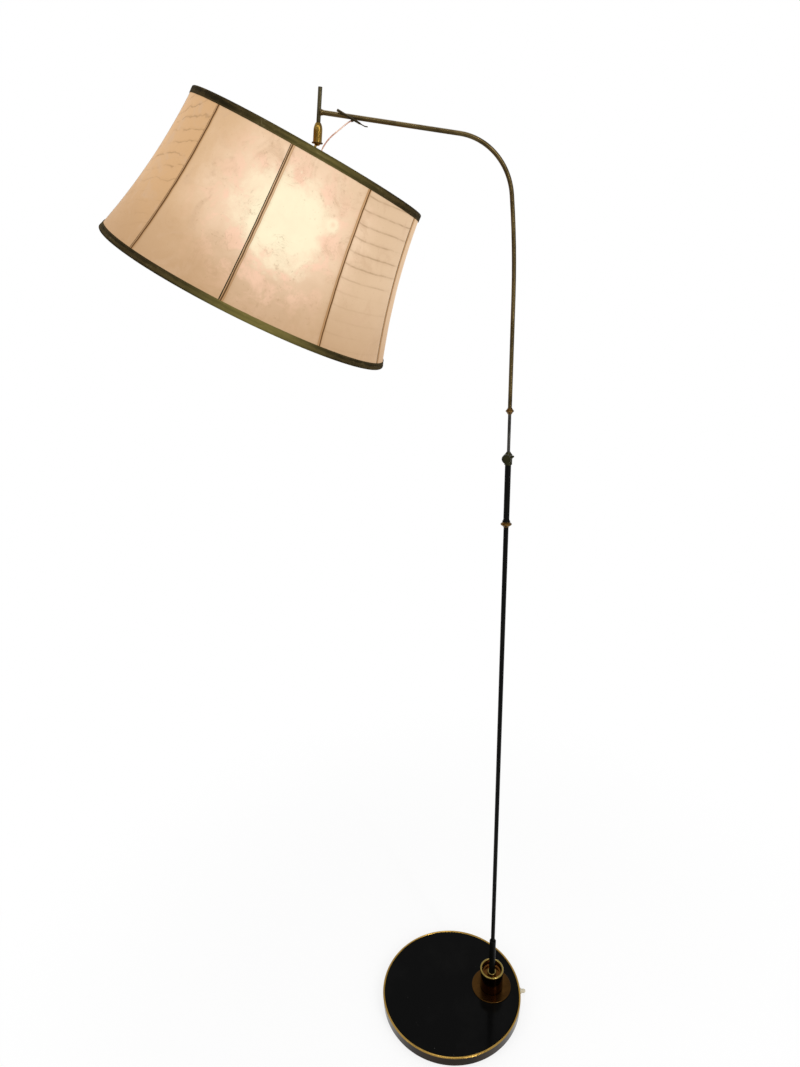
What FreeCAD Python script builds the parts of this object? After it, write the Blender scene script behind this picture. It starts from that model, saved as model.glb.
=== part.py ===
import FreeCAD, Part
import math
import os
import Sketcher
from FreeCAD import Placement, Rotation, Vector

# Bridge floor lamp: a round weighted base, a telescopic pole set near the rim, a bent brass arm
# and a glued parchment shade on a ball joint. Millimetres. The origin is the middle of the base's
# underside, +Z is up, the pole stands on +X and the arm reaches over the base towards -X.

sizes = {
    # base
    "base_radius": 145.0,
    "base_height": 23.8,
    "felt_thickness": 2.0,
    "felt_inset": 5.0,
    "band_lift": 1.2,
    "band_wall": 1.5,
    "band_bead": 2.0,
    "band_neck": 0.7,
    "disc_thickness": 3.2,
    "disc_bevel": 0.7,
    "seat_gap": 0.2,
    "weight_chamfer": 2.0,
    "channel_width": 10.0,
    "channel_depth": 11.6,
    "nut_recess_radius": 19.0,
    "nut_recess_depth": 12.0,
    "stud_radius": 6.9,
    "stud_bore": 4.4,
    "stud_hole": 7.1,
    "nut_width": 22.0,
    "nut_height": 7.0,
    "washer_radius": 16.0,
    "washer_thickness": 2.0,
    "gland_angle": -3.0,
    "gland_radius": 5.8,
    "gland_neck": 3.6,
    "gland_bore": 2.2,
    "gland_length": 13.0,
    "gland_height": 9.0,
    # foot of the pole
    "pole_offset": 85.4,
    "flange_radius": 41.0,
    "flange_thickness": 2.4,
    "cup_radius": 24.3,
    "cup_height": 50.0,
    "cup_bead": 1.9,
    "cup_neck": 0.7,
    "cup_recess": 14.0,
    "cup_groove": 1.4,
    "cup_floor_round": 4.0,
    "socket_depth": 18.0,
    "ring_nut_radius": 9.6,
    "ring_nut_height": 6.4,
    "foot_sleeve_radius": 6.5,
    "foot_sleeve_top": 158.0,
    # pole
    "pole_radius": 4.0,
    "pole_bore": 3.0,
    "slip_fit": 0.05,
    "lower_bead_drop": 112.1,
    "lower_bead_radius": 9.0,
    "lower_bead_half": 4.3,
    "sleeve_radius": 4.75,
    "sleeve_skirt_radius": 6.3,
    "sleeve_skirt_height": 6.0,
    # clamp
    "clamp_height": 1193.0,
    "collar_radius": 6.2,
    "collar_drop": 12.7,
    "collar_shoulder": 3.2,
    "collar_rise": 7.4,
    "collar_top_radius": 3.3,
    "collar_lip": 1.6,
    "collar_seat": 6.0,
    "clamp_angle": 24.0,
    "bush_radius": 3.55,
    "boss_radius": 3.9,
    "boss_reach": 8.5,
    "screw_radius": 2.0,
    "screw_tip_gap": 0.1,
    "knob_radius": 7.3,
    "knob_thickness": 5.4,
    "knob_stand_off": 10.3,
    "knob_hub_radius": 4.2,
    "knob_flute_radius": 0.9,
    "knob_ear_reach": 12.4,
    "knob_ear_width": 4.6,
    "knob_ear_thickness": 2.6,
    # sliding rod
    "rod_radius": 2.5,
    "rod_bore": 1.7,
    "rod_tail": 383.0,
    "rod_overlap": 22.0,
    "rod_foot_height": 24.0,
    "upper_bead_rise": 71.5,
    "upper_bead_radius": 6.4,
    "upper_bead_half": 4.5,
    # arm
    "arm_radius": 3.1,
    "arm_bore": 2.55,
    "bow_start_rise": 237.82,
    "bow_radius": 1310.0,
    "bow_turn": 5.8,
    "bend_radius": 85.0,
    "bend_turn": 81.5,
    "arm_reach": 184.74,
    "arm_collar_radius": 4.8,
    "arm_collar_waist": 3.5,
    "arm_collar_length": 5.4,
    # handle tube and ball joint
    "handle_lean": 7.0,
    "handle_radius": 2.7,
    "handle_bore": 2.0,
    "handle_above": 27.8,
    "handle_below": 34.2,
    "plug_depth": 6.0,
    "plug_rim": 0.7,
    "housing_radius": 5.8,
    "housing_bore": 5.25,
    "housing_neck": 3.7,
    "housing_shoulder": 13.5,
    "housing_top": 21.8,
    "housing_seat": 9.4,
    "tube_seat": 10.0,
    "lip_radius": 7.2,
    "lip_top": -0.8,
    "lip_bottom": -2.8,
    "ball_radius": 5.2,
    "joint_gap": 0.04,
    "pad_radius": 6.3,
    "pad_half_angle": 15.0,
    "cup_half_angle": 50.0,
    "pressure_cup_top": 8.2,
    "stem_radius": 1.6,
    "stem_collar_top": -7.4,
    "stem_collar_bottom": -9.8,
    "stem_collar_radius": 3.1,
    "spigot_radius": 3.9,
    "spigot_bottom": -22.0,
    # lead
    "lead_radius": 1.0,
    "spout_radius": 2.2,
    "spout_bore": 1.3,
    "spout_slope": 20.0,
    "spout_length": 9.3,
    "hook_radius": 1.7,
    "hook_tip_radius": 1.35,
    "hook_wire": 0.7,
    "hook_length": 32.0,
    "hook_slope": 29.3,
    # lampholder
    "holder_top": -10.4,
    "holder_crown": 6.5,
    "holder_radius": 19.6,
    "holder_wall": 1.2,
    "holder_shoulder": -28.0,
    "holder_split": -35.0,
    "holder_bottom": -66.0,
    "holder_skirt": 19.2,
    "inlet_offset": 9.5,
    "inlet_radius": 1.4,
    "porcelain_radius": 17.4,
    "porcelain_top": -30.0,
    "porcelain_floor": -38.0,
    "porcelain_bottom": -62.0,
    "shell_radius": 14.4,
    "shell_bore": 13.6,
    "ring_radius": 25.0,
    "ring_thickness": 3.4,
    "carrier_height": -51.4,
    # bulb
    "cap_radius": 13.1,
    "cap_tip": -41.2,
    "cap_bottom": -68.0,
    "bulb_radius": 30.0,
    "bulb_height": -112.0,
    "bulb_wall": 0.9,
    "bulb_shoulder": 22.0,
    # shade
    "shade_tilt": 28.8,
    "shade_drop": 16.4,
    "shade_height": 203.5,
    "shade_top_radius": 160.5,
    "shade_bottom_radius": 205.8,
    "shade_waist": 6.4,
    "parchment": 0.9,
    "wire_radius": 1.1,
    "wire_depth": 0.9,
    "trim_wall": 0.6,
    "trim_gap": 0.5,
    "tape_gap": 0.3,
    "trim_outside": 9.4,
    "trim_inside": 8.4,
    "panel_gap": 1.1,
    "rib_radius": 1.1,
    "panel_count": 9,
    "first_seam": -133.1,
    "front_panel_left": 37.0,
    "front_panel_middle": 36.2,
    "front_panel_right": 37.7,
    "carrier_wire": 1.6,
    "arm_sink": 0.3,
    "carrier_ring": 22.4,
    "carrier_arms": 3,
}


class Size:
    """A length together with the sheet formula that gives it."""

    def __init__(self, value, formula):
        self.value = value
        self.formula = formula

    def _join(self, sign, other, value):
        return Size(value, f"({self.formula} {sign} {other.formula})")

    def __add__(self, other):
        other = as_size(other)
        return self._join("+", other, self.value + other.value)

    def __sub__(self, other):
        other = as_size(other)
        return self._join("-", other, self.value - other.value)

    def __mul__(self, other):
        other = as_size(other)
        return self._join("*", other, self.value * other.value)

    def __truediv__(self, other):
        other = as_size(other)
        return self._join("/", other, self.value / other.value)

    def __radd__(self, other):
        return as_size(other) + self

    def __rsub__(self, other):
        return as_size(other) - self

    def __rmul__(self, other):
        return as_size(other) * self

    def __neg__(self):
        return Size(-self.value, f"(-1 * {self.formula})")

    def root(self):
        return Size(math.sqrt(self.value), f"sqrt({self.formula})")

    def sine(self):
        return Size(math.sin(math.radians(self.value)), f"sin({self.formula} * 1 deg)")

    def cosine(self):
        return Size(math.cos(math.radians(self.value)), f"cos({self.formula} * 1 deg)")


def as_size(number):
    """A plain number as a Size, so that both can stand in one formula."""
    return number if isinstance(number, Size) else Size(float(number), f"({number})")


doc = FreeCAD.newDocument("bridge_floor_lamp")
sheet = doc.addObject("Spreadsheet::Sheet", "Sizes")
for row, (name, value) in enumerate(sizes.items(), start=1):
    sheet.set(f"A{row}", name)
    sheet.set(f"B{row}", str(value))
    sheet.setAlias(f"B{row}", name)
doc.recompute()


class Sheet:
    """Reads a size by name: s.base_radius."""

    def __getattr__(self, name):
        return Size(float(sizes[name]), f"Sizes.{name}")


s = Sheet()
nodes = []

# heights that go with the clamp
lower_bead_height = s.clamp_height - s.lower_bead_drop
upper_bead_height = s.clamp_height + s.upper_bead_rise
rod_bottom = s.clamp_height - s.rod_tail
bow_start = s.clamp_height + s.bow_start_rise


def keep(thing, label):
    """Names a finished sub-part and lists it for export."""
    thing.Label = label
    nodes.append(thing)
    return thing


# ---- sketches and the features made from them


def via(across, up):
    """A point that the edge between its two neighbours bends through."""
    return (across, up, "via")


def set_point(sketch, piece, end, across, up):
    """Holds one point of a sketch at two formulas, measured from the sketch's origin."""
    for kind, where, axis in (("DistanceX", across, -2), ("DistanceY", up, -1)):
        where = as_size(where)
        if where.formula == "(0)":
            sketch.addConstraint(Sketcher.Constraint("PointOnObject", piece, end, axis))
        else:
            rule = Sketcher.Constraint(kind, -1, 1, piece, end, where.value)
            index = sketch.addConstraint(rule)
            sketch.setExpression(f"Constraints[{index}]", where.formula)


def flat(point):
    """The sketch point of an outline entry."""
    return Vector(as_size(point[0]).value, as_size(point[1]).value, 0)


def draw(sketch, outline, closed=True):
    """Draws an outline of straight edges and of arcs, each arc through its via point."""
    corners = [i for i, point in enumerate(outline) if len(point) == 2]
    edges = []
    last = len(corners) if closed else len(corners) - 1
    for i in range(last):
        here = corners[i]
        there = corners[(i + 1) % len(corners)]
        start, finish = flat(outline[here]), flat(outline[there])
        between = outline[(here + 1) % len(outline)]
        if len(between) == 2:
            edges.append((sketch.addGeometry(Part.LineSegment(start, finish), False), 1, 2))
            continue
        middle = flat(between)
        left = (finish - start).cross(middle - start).z > 0
        points = (finish, middle, start) if left else (start, middle, finish)
        arc = sketch.addGeometry(Part.Arc(*points), False)
        mark = sketch.addGeometry(Part.Point(middle), True)
        set_point(sketch, mark, 1, between[0], between[1])
        sketch.addConstraint(Sketcher.Constraint("PointOnObject", mark, 1, arc))
        edges.append((arc, 2, 1) if left else (arc, 1, 2))
    for i in range(last):
        following = (i + 1) % last
        if closed or following:
            piece, _, end = edges[i]
            after, begin, _ = edges[following]
            sketch.addConstraint(Sketcher.Constraint("Coincident", piece, end, after, begin))
        set_point(sketch, edges[i][0], edges[i][1], *outline[corners[i]])
    if not closed:
        set_point(sketch, edges[-1][0], edges[-1][2], *outline[corners[-1]])


def circle(sketch, radius, across=0, up=0):
    """A circle held by its centre and radius."""
    centre = Vector(as_size(across).value, as_size(up).value, 0)
    index = sketch.addGeometry(Part.Circle(centre, Vector(0, 0, 1), as_size(radius).value), False)
    set_point(sketch, index, 3, across, up)
    rule = Sketcher.Constraint("Radius", index, as_size(radius).value)
    held = sketch.addConstraint(rule)
    sketch.setExpression(f"Constraints[{held}]", as_size(radius).formula)


def sketch_on(body, role, name, lift=None):
    """A sketch on one of the body's own planes, lifted off it if asked."""
    sketch = body.newObject("Sketcher::SketchObject", name)
    plane = [f for f in body.Origin.OriginFeatures if f.Role == role][0]
    sketch.AttachmentSupport = (plane, [""])
    sketch.MapMode = "FlatFace"
    if lift is not None:
        sketch.setExpression(".AttachmentOffset.Base.z", as_size(lift).formula)
    return sketch


def new_body(label, place):
    body = doc.addObject("PartDesign::Body", label)
    body.Placement = place
    return body


def turned(label, outline, place=Placement(), sweep=None, listed=True):
    """A half section in the XZ plane turned about Z, right round or by the angle sweep."""
    body = new_body(label, place)
    sketch = sketch_on(body, "XZ_Plane", label + "_section")
    draw(sketch, outline)
    turn = body.newObject("PartDesign::Revolution", label + "_turn")
    turn.Profile = sketch
    turn.ReferenceAxis = (sketch, ["V_Axis"])
    if sweep is None:
        turn.Angle = 360
    else:
        turn.Midplane = True
        turn.setExpression("Angle", sweep.formula)
    return keep(body, label) if listed else body


def tube(label, inner, outer, bottom, top, place=Placement()):
    """A plain round tube along Z."""
    outline = [(inner, bottom), (outer, bottom), (outer, top), (inner, top)]
    return turned(label, outline, place)


def pad(body, sketch, length, name):
    grown = body.newObject("PartDesign::Pad", name)
    grown.Profile = sketch
    grown.setExpression("Length", as_size(length).formula)
    return grown


def pocket(body, sketch, depth, name, upward=False):
    """A cut of the given depth, or right through where depth is None."""
    doc.recompute()
    before = body.Shape.Volume
    cut = body.newObject("PartDesign::Pocket", name)
    cut.Profile = sketch
    cut.Reversed = upward
    if depth is None:
        cut.Type = 1
    else:
        cut.setExpression("Length", as_size(depth).formula)
    doc.recompute()
    if body.Shape.Volume >= before:
        raise ValueError(f"{name} cuts nothing")
    return cut


def pipe(body, label, spine, radius, bore=None, lift=0):
    """A round bar or tube along a path drawn in the body's XZ plane, which starts along Z."""
    path = sketch_on(body, "XZ_Plane", label + "_path")
    draw(path, spine, closed=False)
    ring = sketch_on(body, "XY_Plane", label + "_ring", lift)
    circle(ring, radius, spine[0][0])
    if bore is not None:
        circle(ring, bore, spine[0][0])
    doc.recompute()
    sweep = body.newObject("PartDesign::AdditivePipe", label + "_sweep")
    sweep.Profile = ring
    sweep.Spine = (path, [f"Edge{i + 1}" for i in range(len(path.Shape.Edges))])
    return sweep


def axis_frame(point, slope):
    """A frame at point whose Z leans by slope degrees from +Z towards +X."""
    return Placement(point, Rotation(Vector(0, 1, 0), slope))


# ---- where the frames of the assembly lie


def direction(angle):
    """The unit vector in the XZ plane at that angle from +X towards +Z."""
    return Vector(math.cos(math.radians(angle)), 0, math.sin(math.radians(angle)))


pole_frame = Placement(Vector(s.pole_offset.value, 0, 0), Rotation())
arm_rise = 90 - sizes["bend_turn"]
arm_direction = direction(180 - arm_rise)
bow_middle = Vector(sizes["pole_offset"] - sizes["bow_radius"], 0, bow_start.value)
bow_left = sizes["bow_radius"] - sizes["bend_radius"]
bend_middle = bow_middle + direction(sizes["bow_turn"]) * bow_left
bend_end = bend_middle + direction(sizes["bend_turn"]) * sizes["bend_radius"]
arm_end = bend_end + arm_direction * sizes["arm_reach"]
handle_up = direction(90 - sizes["handle_lean"])
ball_centre = arm_end - handle_up * sizes["handle_below"]
handle_frame = axis_frame(ball_centre, sizes["handle_lean"])
head_frame = axis_frame(ball_centre, sizes["shade_tilt"])


# ---- base


def make_base():
    inside = s.base_radius - s.band_neck - s.band_wall
    bead_middle = s.base_height - s.band_bead + 0.8
    band = turned("rim_band_turning", [
        (inside, s.band_lift),
        (s.base_radius - s.band_neck - 0.5, s.band_lift),
        (s.base_radius - s.band_neck, s.band_lift + 0.8),
        (s.base_radius - s.band_neck, bead_middle - s.band_neck - 0.6),
        (s.base_radius, bead_middle),
        via(s.base_radius - s.band_bead, bead_middle + s.band_bead),
        (s.base_radius - 2 * s.band_bead, bead_middle),
        (inside, bead_middle - s.band_neck - 0.6),
    ], listed=False)
    gland_hole = cylinder("gland_hole", s.gland_neck + s.slip_fit, 3 * s.band_wall,
                          gland_frame().multiply(Placement(
                              Vector(0, 0, -2 * sizes["band_wall"]), Rotation())))
    keep(cut_away("rim_band_drilled", band, gland_hole), "rim_band")
    disc_bottom = s.base_height - s.disc_thickness
    disc_radius = s.base_radius - 2 * s.band_bead - s.seat_gap
    hole = s.stud_hole
    disc = new_body("top_disc", Placement())
    face = sketch_on(disc, "XY_Plane", "top_disc_outline", disc_bottom)
    circle(face, disc_radius)
    circle(face, hole, s.pole_offset)
    plate = pad(disc, face, s.disc_thickness, "top_disc_plate")
    doc.recompute()
    rim = [f"Edge{i + 1}" for i, edge in enumerate(plate.Shape.Edges)
           if abs(edge.Length - 2 * math.pi * disc_radius.value) < 0.01
           and edge.CenterOfMass.z > disc_bottom.value + 0.01]
    bevel = disc.newObject("PartDesign::Chamfer", "top_disc_bevel")
    bevel.Base = (plate, rim)
    bevel.setExpression("Size", s.disc_bevel.formula)
    keep(disc, "top_disc")

    weight = new_body("base_weight", Placement())
    face = sketch_on(weight, "XY_Plane", "base_weight_outline", s.felt_thickness)
    circle(face, inside - s.seat_gap)
    casting = pad(weight, face, disc_bottom - s.felt_thickness, "base_weight_casting")
    doc.recompute()
    foot = [f"Edge{i + 1}" for i, edge in enumerate(casting.Shape.Edges)
            if edge.CenterOfMass.z < s.felt_thickness.value + 0.01]
    draft = weight.newObject("PartDesign::Chamfer", "base_weight_edge")
    draft.Base = (casting, foot)
    draft.setExpression("Size", s.weight_chamfer.formula)
    bore = sketch_on(weight, "XY_Plane", "stud_hole", s.felt_thickness)
    circle(bore, hole, s.pole_offset)
    pocket(weight, bore, None, "stud_hole_cut", upward=True)
    recess = sketch_on(weight, "XY_Plane", "nut_recess", s.felt_thickness)
    circle(recess, s.nut_recess_radius, s.pole_offset)
    pocket(weight, recess, s.nut_recess_depth, "nut_recess_cut", upward=True)
    channel = sketch_on(weight, "XY_Plane", "cord_channel", s.felt_thickness)
    half = s.channel_width / 2
    fall = s.gland_angle.sine() * s.base_radius
    draw(channel, [
        (s.pole_offset, -half),
        (s.base_radius + 5, fall - half),
        (s.base_radius + 5, fall + half),
        (s.pole_offset, half),
    ])
    pocket(weight, channel, s.channel_depth, "cord_channel_cut", upward=True)
    keep(weight, "base_weight")

    felt = s.base_radius - s.felt_inset
    turned("base_felt", [(0, 0), (felt, 0), (felt, s.felt_thickness), (0, s.felt_thickness)])


def make_base_fixings():
    recess_roof = s.felt_thickness + s.nut_recess_depth
    washer_bottom = recess_roof - s.washer_thickness
    tube("stud_washer", s.stud_hole, s.washer_radius, washer_bottom, recess_roof, pole_frame)
    nut = new_body("stud_nut", pole_frame)
    face = sketch_on(nut, "XY_Plane", "stud_nut_outline", washer_bottom - s.nut_height)
    corner = s.nut_width / 2 / Size(math.cos(math.radians(30)), "cos(30 deg)")
    draw(face, [
        (corner * math.cos(math.radians(60 * k)), corner * math.sin(math.radians(60 * k)) + 0.0)
        for k in range(6)
    ])
    circle(face, s.stud_hole)
    pad(nut, face, s.nut_height, "stud_nut_pad")
    keep(nut, "stud_nut")
    stud_bottom = washer_bottom - s.nut_height - 1
    stud_top = socket_bottom() - 1.5
    tube("base_stud", s.stud_bore, s.stud_radius, stud_bottom, stud_top, pole_frame)


def gland_frame():
    """A frame on the band's outside: Z points straight out of the base."""
    out = direction(0) * (sizes["base_radius"] - sizes["band_neck"])
    turn = Rotation(Vector(0, 0, 1), sizes["gland_angle"])
    return Placement(turn.multVec(out) + Vector(0, 0, sizes["gland_height"]),
                     turn * Rotation(Vector(0, 1, 0), 90))


def make_gland():
    """The cord outlet in the rim band: a flanged bush that tapers outwards."""
    turned("cord_gland", [
        (s.gland_bore, -s.band_wall - 3),
        (s.gland_neck, -s.band_wall - 3),
        (s.gland_neck, 0.1),
        (s.gland_radius, 0.1),
        via(s.gland_radius + 0.4, s.gland_length * 0.16),
        (s.gland_radius - 0.5, s.gland_length * 0.32),
        (s.gland_radius - 1.9, s.gland_length * 0.4),
        via(s.gland_radius - 1.9, s.gland_length * 0.72),
        (s.gland_bore + 0.4, s.gland_length),
        (s.gland_bore, s.gland_length),
    ], gland_frame())


def flange_top():
    return s.base_height + s.flange_thickness


def cup_floor():
    return flange_top() + s.cup_height - s.cup_recess


def socket_bottom():
    return cup_floor() - s.socket_depth


def make_pole_foot():
    turned("flange_disc", [
        (s.stud_hole, s.base_height),
        (s.flange_radius, s.base_height),
        (s.flange_radius, flange_top() - 0.9),
        via(s.flange_radius - 0.3, flange_top() - 0.3),
        (s.flange_radius - 0.9, flange_top()),
        (s.stud_hole, flange_top()),
    ], pole_frame)
    rim = flange_top() + s.cup_height
    wall = s.cup_radius - s.cup_neck
    inner = s.cup_radius - 2 * s.cup_bead
    socket = s.foot_sleeve_radius + s.slip_fit
    turned("pole_cup", [
        (s.stud_hole, flange_top()),
        (wall - 0.9, flange_top()),
        (wall - 0.9, flange_top() + s.cup_groove),
        (wall, flange_top() + s.cup_groove + 0.6),
        (wall, rim - 2 * s.cup_bead - 0.6),
        (s.cup_radius, rim - s.cup_bead),
        via(s.cup_radius - s.cup_bead, rim),
        (inner, rim - s.cup_bead),
        (inner, cup_floor() + s.cup_floor_round),
        via(inner - 0.3 * s.cup_floor_round, cup_floor() + 0.3 * s.cup_floor_round),
        (inner - s.cup_floor_round, cup_floor()),
        (socket, cup_floor()),
        (socket, socket_bottom()),
        (s.stud_hole, socket_bottom()),
    ], pole_frame)
    turned("ring_nut", [
        (socket, cup_floor()),
        (s.ring_nut_radius, cup_floor()),
        (s.ring_nut_radius, cup_floor() + s.ring_nut_height - 1.6),
        via(s.ring_nut_radius - 0.5, cup_floor() + s.ring_nut_height - 0.5),
        (s.ring_nut_radius - 1.6, cup_floor() + s.ring_nut_height),
        (socket, cup_floor() + s.ring_nut_height),
    ], pole_frame)
    turned("foot_sleeve", [
        (s.pole_radius + s.slip_fit, socket_bottom()),
        (s.foot_sleeve_radius, socket_bottom()),
        (s.foot_sleeve_radius, s.foot_sleeve_top - 2),
        (s.foot_sleeve_radius - 1.6, s.foot_sleeve_top),
        (s.pole_radius + s.slip_fit, s.foot_sleeve_top),
    ], pole_frame)


# ---- pole, clamp and sliding rod


def bead_outline(bore, neck, radius, middle, half):
    """A turned bead: two cones that meet in a narrow rounded edge."""
    return [
        (bore, middle - half),
        (neck, middle - half),
        (neck + 0.2, middle - half + 0.9),
        (radius - 0.5, middle - 0.8),
        via(radius, middle),
        (radius - 0.5, middle + 0.8),
        (neck + 0.2, middle + half - 0.9),
        (neck, middle + half),
        (bore, middle + half),
    ]


def make_pole():
    top = s.clamp_height - s.collar_seat
    bottom = socket_bottom() + 2
    around = s.pole_radius + s.slip_fit
    tube("lower_pole", s.pole_bore, s.pole_radius, bottom, top, pole_frame)
    turned("lower_bead", bead_outline(around, s.pole_radius + 1.2, s.lower_bead_radius,
                                      lower_bead_height, s.lower_bead_half), pole_frame)
    foot = lower_bead_height + s.lower_bead_half
    turned("upper_sleeve", [
        (around, foot),
        (s.sleeve_skirt_radius, foot),
        (s.sleeve_skirt_radius, foot + 0.8),
        via(s.sleeve_radius + 0.4, foot + s.sleeve_skirt_height * 0.45),
        (s.sleeve_radius, foot + s.sleeve_skirt_height),
        (s.sleeve_radius, top),
        (around, top),
    ], pole_frame)


def facing_camera(along, up):
    """A frame on the clamp screw's axis: Z points out of the collar, between -Y and -X."""
    turn = Rotation(Vector(0, 0, 1), -sizes["clamp_angle"])
    out = turn.multVec(Vector(0, -along, 0))
    return Placement(Vector(sizes["pole_offset"], 0, up) + out,
                     turn * Rotation(Vector(1, 0, 0), 90))


def make_clamp():
    middle = s.clamp_height
    top = middle + s.collar_rise
    bush_bore = s.bush_radius + s.slip_fit
    collar = turned("collar_turning", [
        (s.sleeve_radius + 0.1, middle - s.collar_drop),
        (s.collar_radius - 0.5, middle - s.collar_drop),
        (s.collar_radius, middle - s.collar_drop + 0.5),
        (s.collar_radius, middle + s.collar_shoulder),
        via((s.collar_radius + s.collar_top_radius) / 2 - 0.3,
            middle + (s.collar_shoulder + s.collar_rise) / 2),
        (s.collar_top_radius, top),
        (s.rod_radius + 0.25, top),
        (s.rod_radius + 0.25, top - s.collar_lip),
        (bush_bore, top - s.collar_lip),
        (bush_bore, middle - s.collar_seat),
        (s.sleeve_radius + 0.1, middle - s.collar_seat),
    ], pole_frame, listed=False)
    boss = doc.addObject("Part::Cylinder", "collar_boss")
    boss.setExpression("Radius", s.boss_radius.formula)
    boss.setExpression("Height", (s.boss_reach - s.bush_radius - 0.8).formula)
    boss.Placement = facing_camera(sizes["bush_radius"] + 0.8, sizes["clamp_height"])
    joined = doc.addObject("Part::Fuse", "collar_with_boss")
    joined.Base = collar
    joined.Tool = boss
    hole = doc.addObject("Part::Cylinder", "collar_screw_hole")
    hole.setExpression("Radius", (s.screw_radius + s.slip_fit).formula)
    hole.setExpression("Height", (s.boss_reach + 1).formula)
    hole.Placement = facing_camera(0, sizes["clamp_height"])
    drilled = doc.addObject("Part::Cut", "collar_drilled")
    drilled.Base = joined
    drilled.Tool = hole
    keep(drilled, "clamp_collar")

    play = 0.15
    tube("clamp_bush", s.rod_radius + s.slip_fit, s.bush_radius, middle - s.collar_seat + play,
         top - s.collar_lip - play, pole_frame)

    front = facing_camera(0, sizes["clamp_height"])
    turned("clamp_screw", [
        (0, s.bush_radius + s.screw_tip_gap),
        (s.screw_radius - 0.4, s.bush_radius + s.screw_tip_gap),
        (s.screw_radius, s.bush_radius + s.screw_tip_gap + 0.4),
        (s.screw_radius, s.knob_stand_off + 1),
        (0, s.knob_stand_off + 1),
    ], front)
    knob = new_body("clamp_knob", front)
    face = sketch_on(knob, "XY_Plane", "knob_outline", s.knob_stand_off + 1)
    circle(face, s.knob_radius)
    pad(knob, face, s.knob_thickness - 1, "knob_head")
    hub = sketch_on(knob, "XY_Plane", "knob_hub_outline", s.boss_reach + s.seat_gap)
    circle(hub, s.knob_hub_radius)
    circle(hub, s.screw_radius)
    pad(knob, hub, s.knob_stand_off + 1 - s.boss_reach - s.seat_gap, "knob_hub")
    doc.recompute()
    ear = sketch_on(knob, "XY_Plane", "knob_ear_outline", s.knob_stand_off + 1.6)
    lean = math.radians(24)
    along = (math.cos(lean), math.sin(lean))

    def ear_point(out, side):
        """A point at that distance out along the ear and to its side."""
        return (out * along[0] - side * along[1], out * along[1] + side * along[0])

    wide = s.knob_ear_width / 2
    draw(ear, [
        ear_point(s.knob_radius * 0.5, wide * 2.3),
        ear_point(s.knob_radius * 0.5, -wide * 1.9),
        ear_point(s.knob_ear_reach, -wide * 0.35),
        ear_point(s.knob_ear_reach, wide * 0.35),
    ])
    pad(knob, ear, s.knob_ear_thickness, "knob_ear")
    flute = sketch_on(knob, "XY_Plane", "knob_flute_outline", s.knob_stand_off + 1)
    circle(flute, s.knob_flute_radius, 0, -s.knob_radius - 0.25)
    cut = pocket(knob, flute, s.knob_thickness - 1, "knob_flute", upward=True)
    grip = knob.newObject("PartDesign::PolarPattern", "knob_grip")
    grip.Originals = [cut]
    grip.Axis = (flute, ["N_Axis"])
    grip.Angle = 360
    grip.Occurrences = 14
    knob.Tip = grip
    keep(knob, "clamp_knob")


def make_rod():
    rod_top = upper_bead_height + s.upper_bead_half + s.rod_overlap
    tube("sliding_rod", s.rod_bore, s.rod_radius, rod_bottom, rod_top, pole_frame)
    foot_radius = s.pole_bore - s.slip_fit
    foot_bottom = rod_bottom - 4
    turned("rod_foot", [
        (s.rod_bore, foot_bottom),
        (foot_radius - 0.5, foot_bottom),
        (foot_radius, foot_bottom + 0.8),
        (foot_radius, rod_bottom + s.rod_foot_height - 4),
        (s.rod_radius + 0.02, rod_bottom + s.rod_foot_height - 4),
        (s.rod_radius + 0.02, rod_bottom),
        (s.rod_bore, rod_bottom),
    ], pole_frame)
    turned("upper_bead", bead_outline(s.rod_radius + s.slip_fit, s.arm_radius + 0.5,
                                      s.upper_bead_radius, upper_bead_height,
                                      s.upper_bead_half), pole_frame)


# ---- arm, handle tube and lead outlet


def along_bend(start, radius, turned_from, turned_to):
    """Where a bend of that radius ends, from a start point and its two turns off the upright."""
    across, up = start
    return (across - radius * (turned_from.cosine() - turned_to.cosine()),
            up + radius * (turned_to.sine() - turned_from.sine()))


def arm_path(bottom, length):
    """The arm's centre line in the pole's XZ plane: up, slightly bowed, round the bend, out."""
    upright = as_size(0)
    bow = s.bow_turn
    turn = s.bend_turn
    bow_end = along_bend((0, bow_start), s.bow_radius, upright, bow)
    corner = along_bend(bow_end, s.bend_radius, bow, turn)
    return [
        (0, bottom),
        (0, bow_start),
        via(*along_bend((0, bow_start), s.bow_radius, upright, bow / 2)),
        bow_end,
        via(*along_bend(bow_end, s.bend_radius, bow, (bow + turn) / 2)),
        corner,
        (corner[0] - length * turn.sine(), corner[1] + length * turn.cosine()),
    ]


def spout_frame():
    """The lead outlet's axis: Z points back into the arm from the outlet's mouth."""
    mouth = arm_end - arm_direction * 41.6 - handle_up * 4.4
    return mouth, axis_frame(mouth, 90 - sizes["spout_slope"])


def cylinder(name, radius, height, place):
    made = doc.addObject("Part::Cylinder", name)
    made.setExpression("Radius", as_size(radius).formula)
    made.setExpression("Height", as_size(height).formula)
    made.Placement = place
    return made


def cut_away(name, base, tool):
    made = doc.addObject("Part::Cut", name)
    made.Base = base
    made.Tool = tool
    return made


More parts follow.
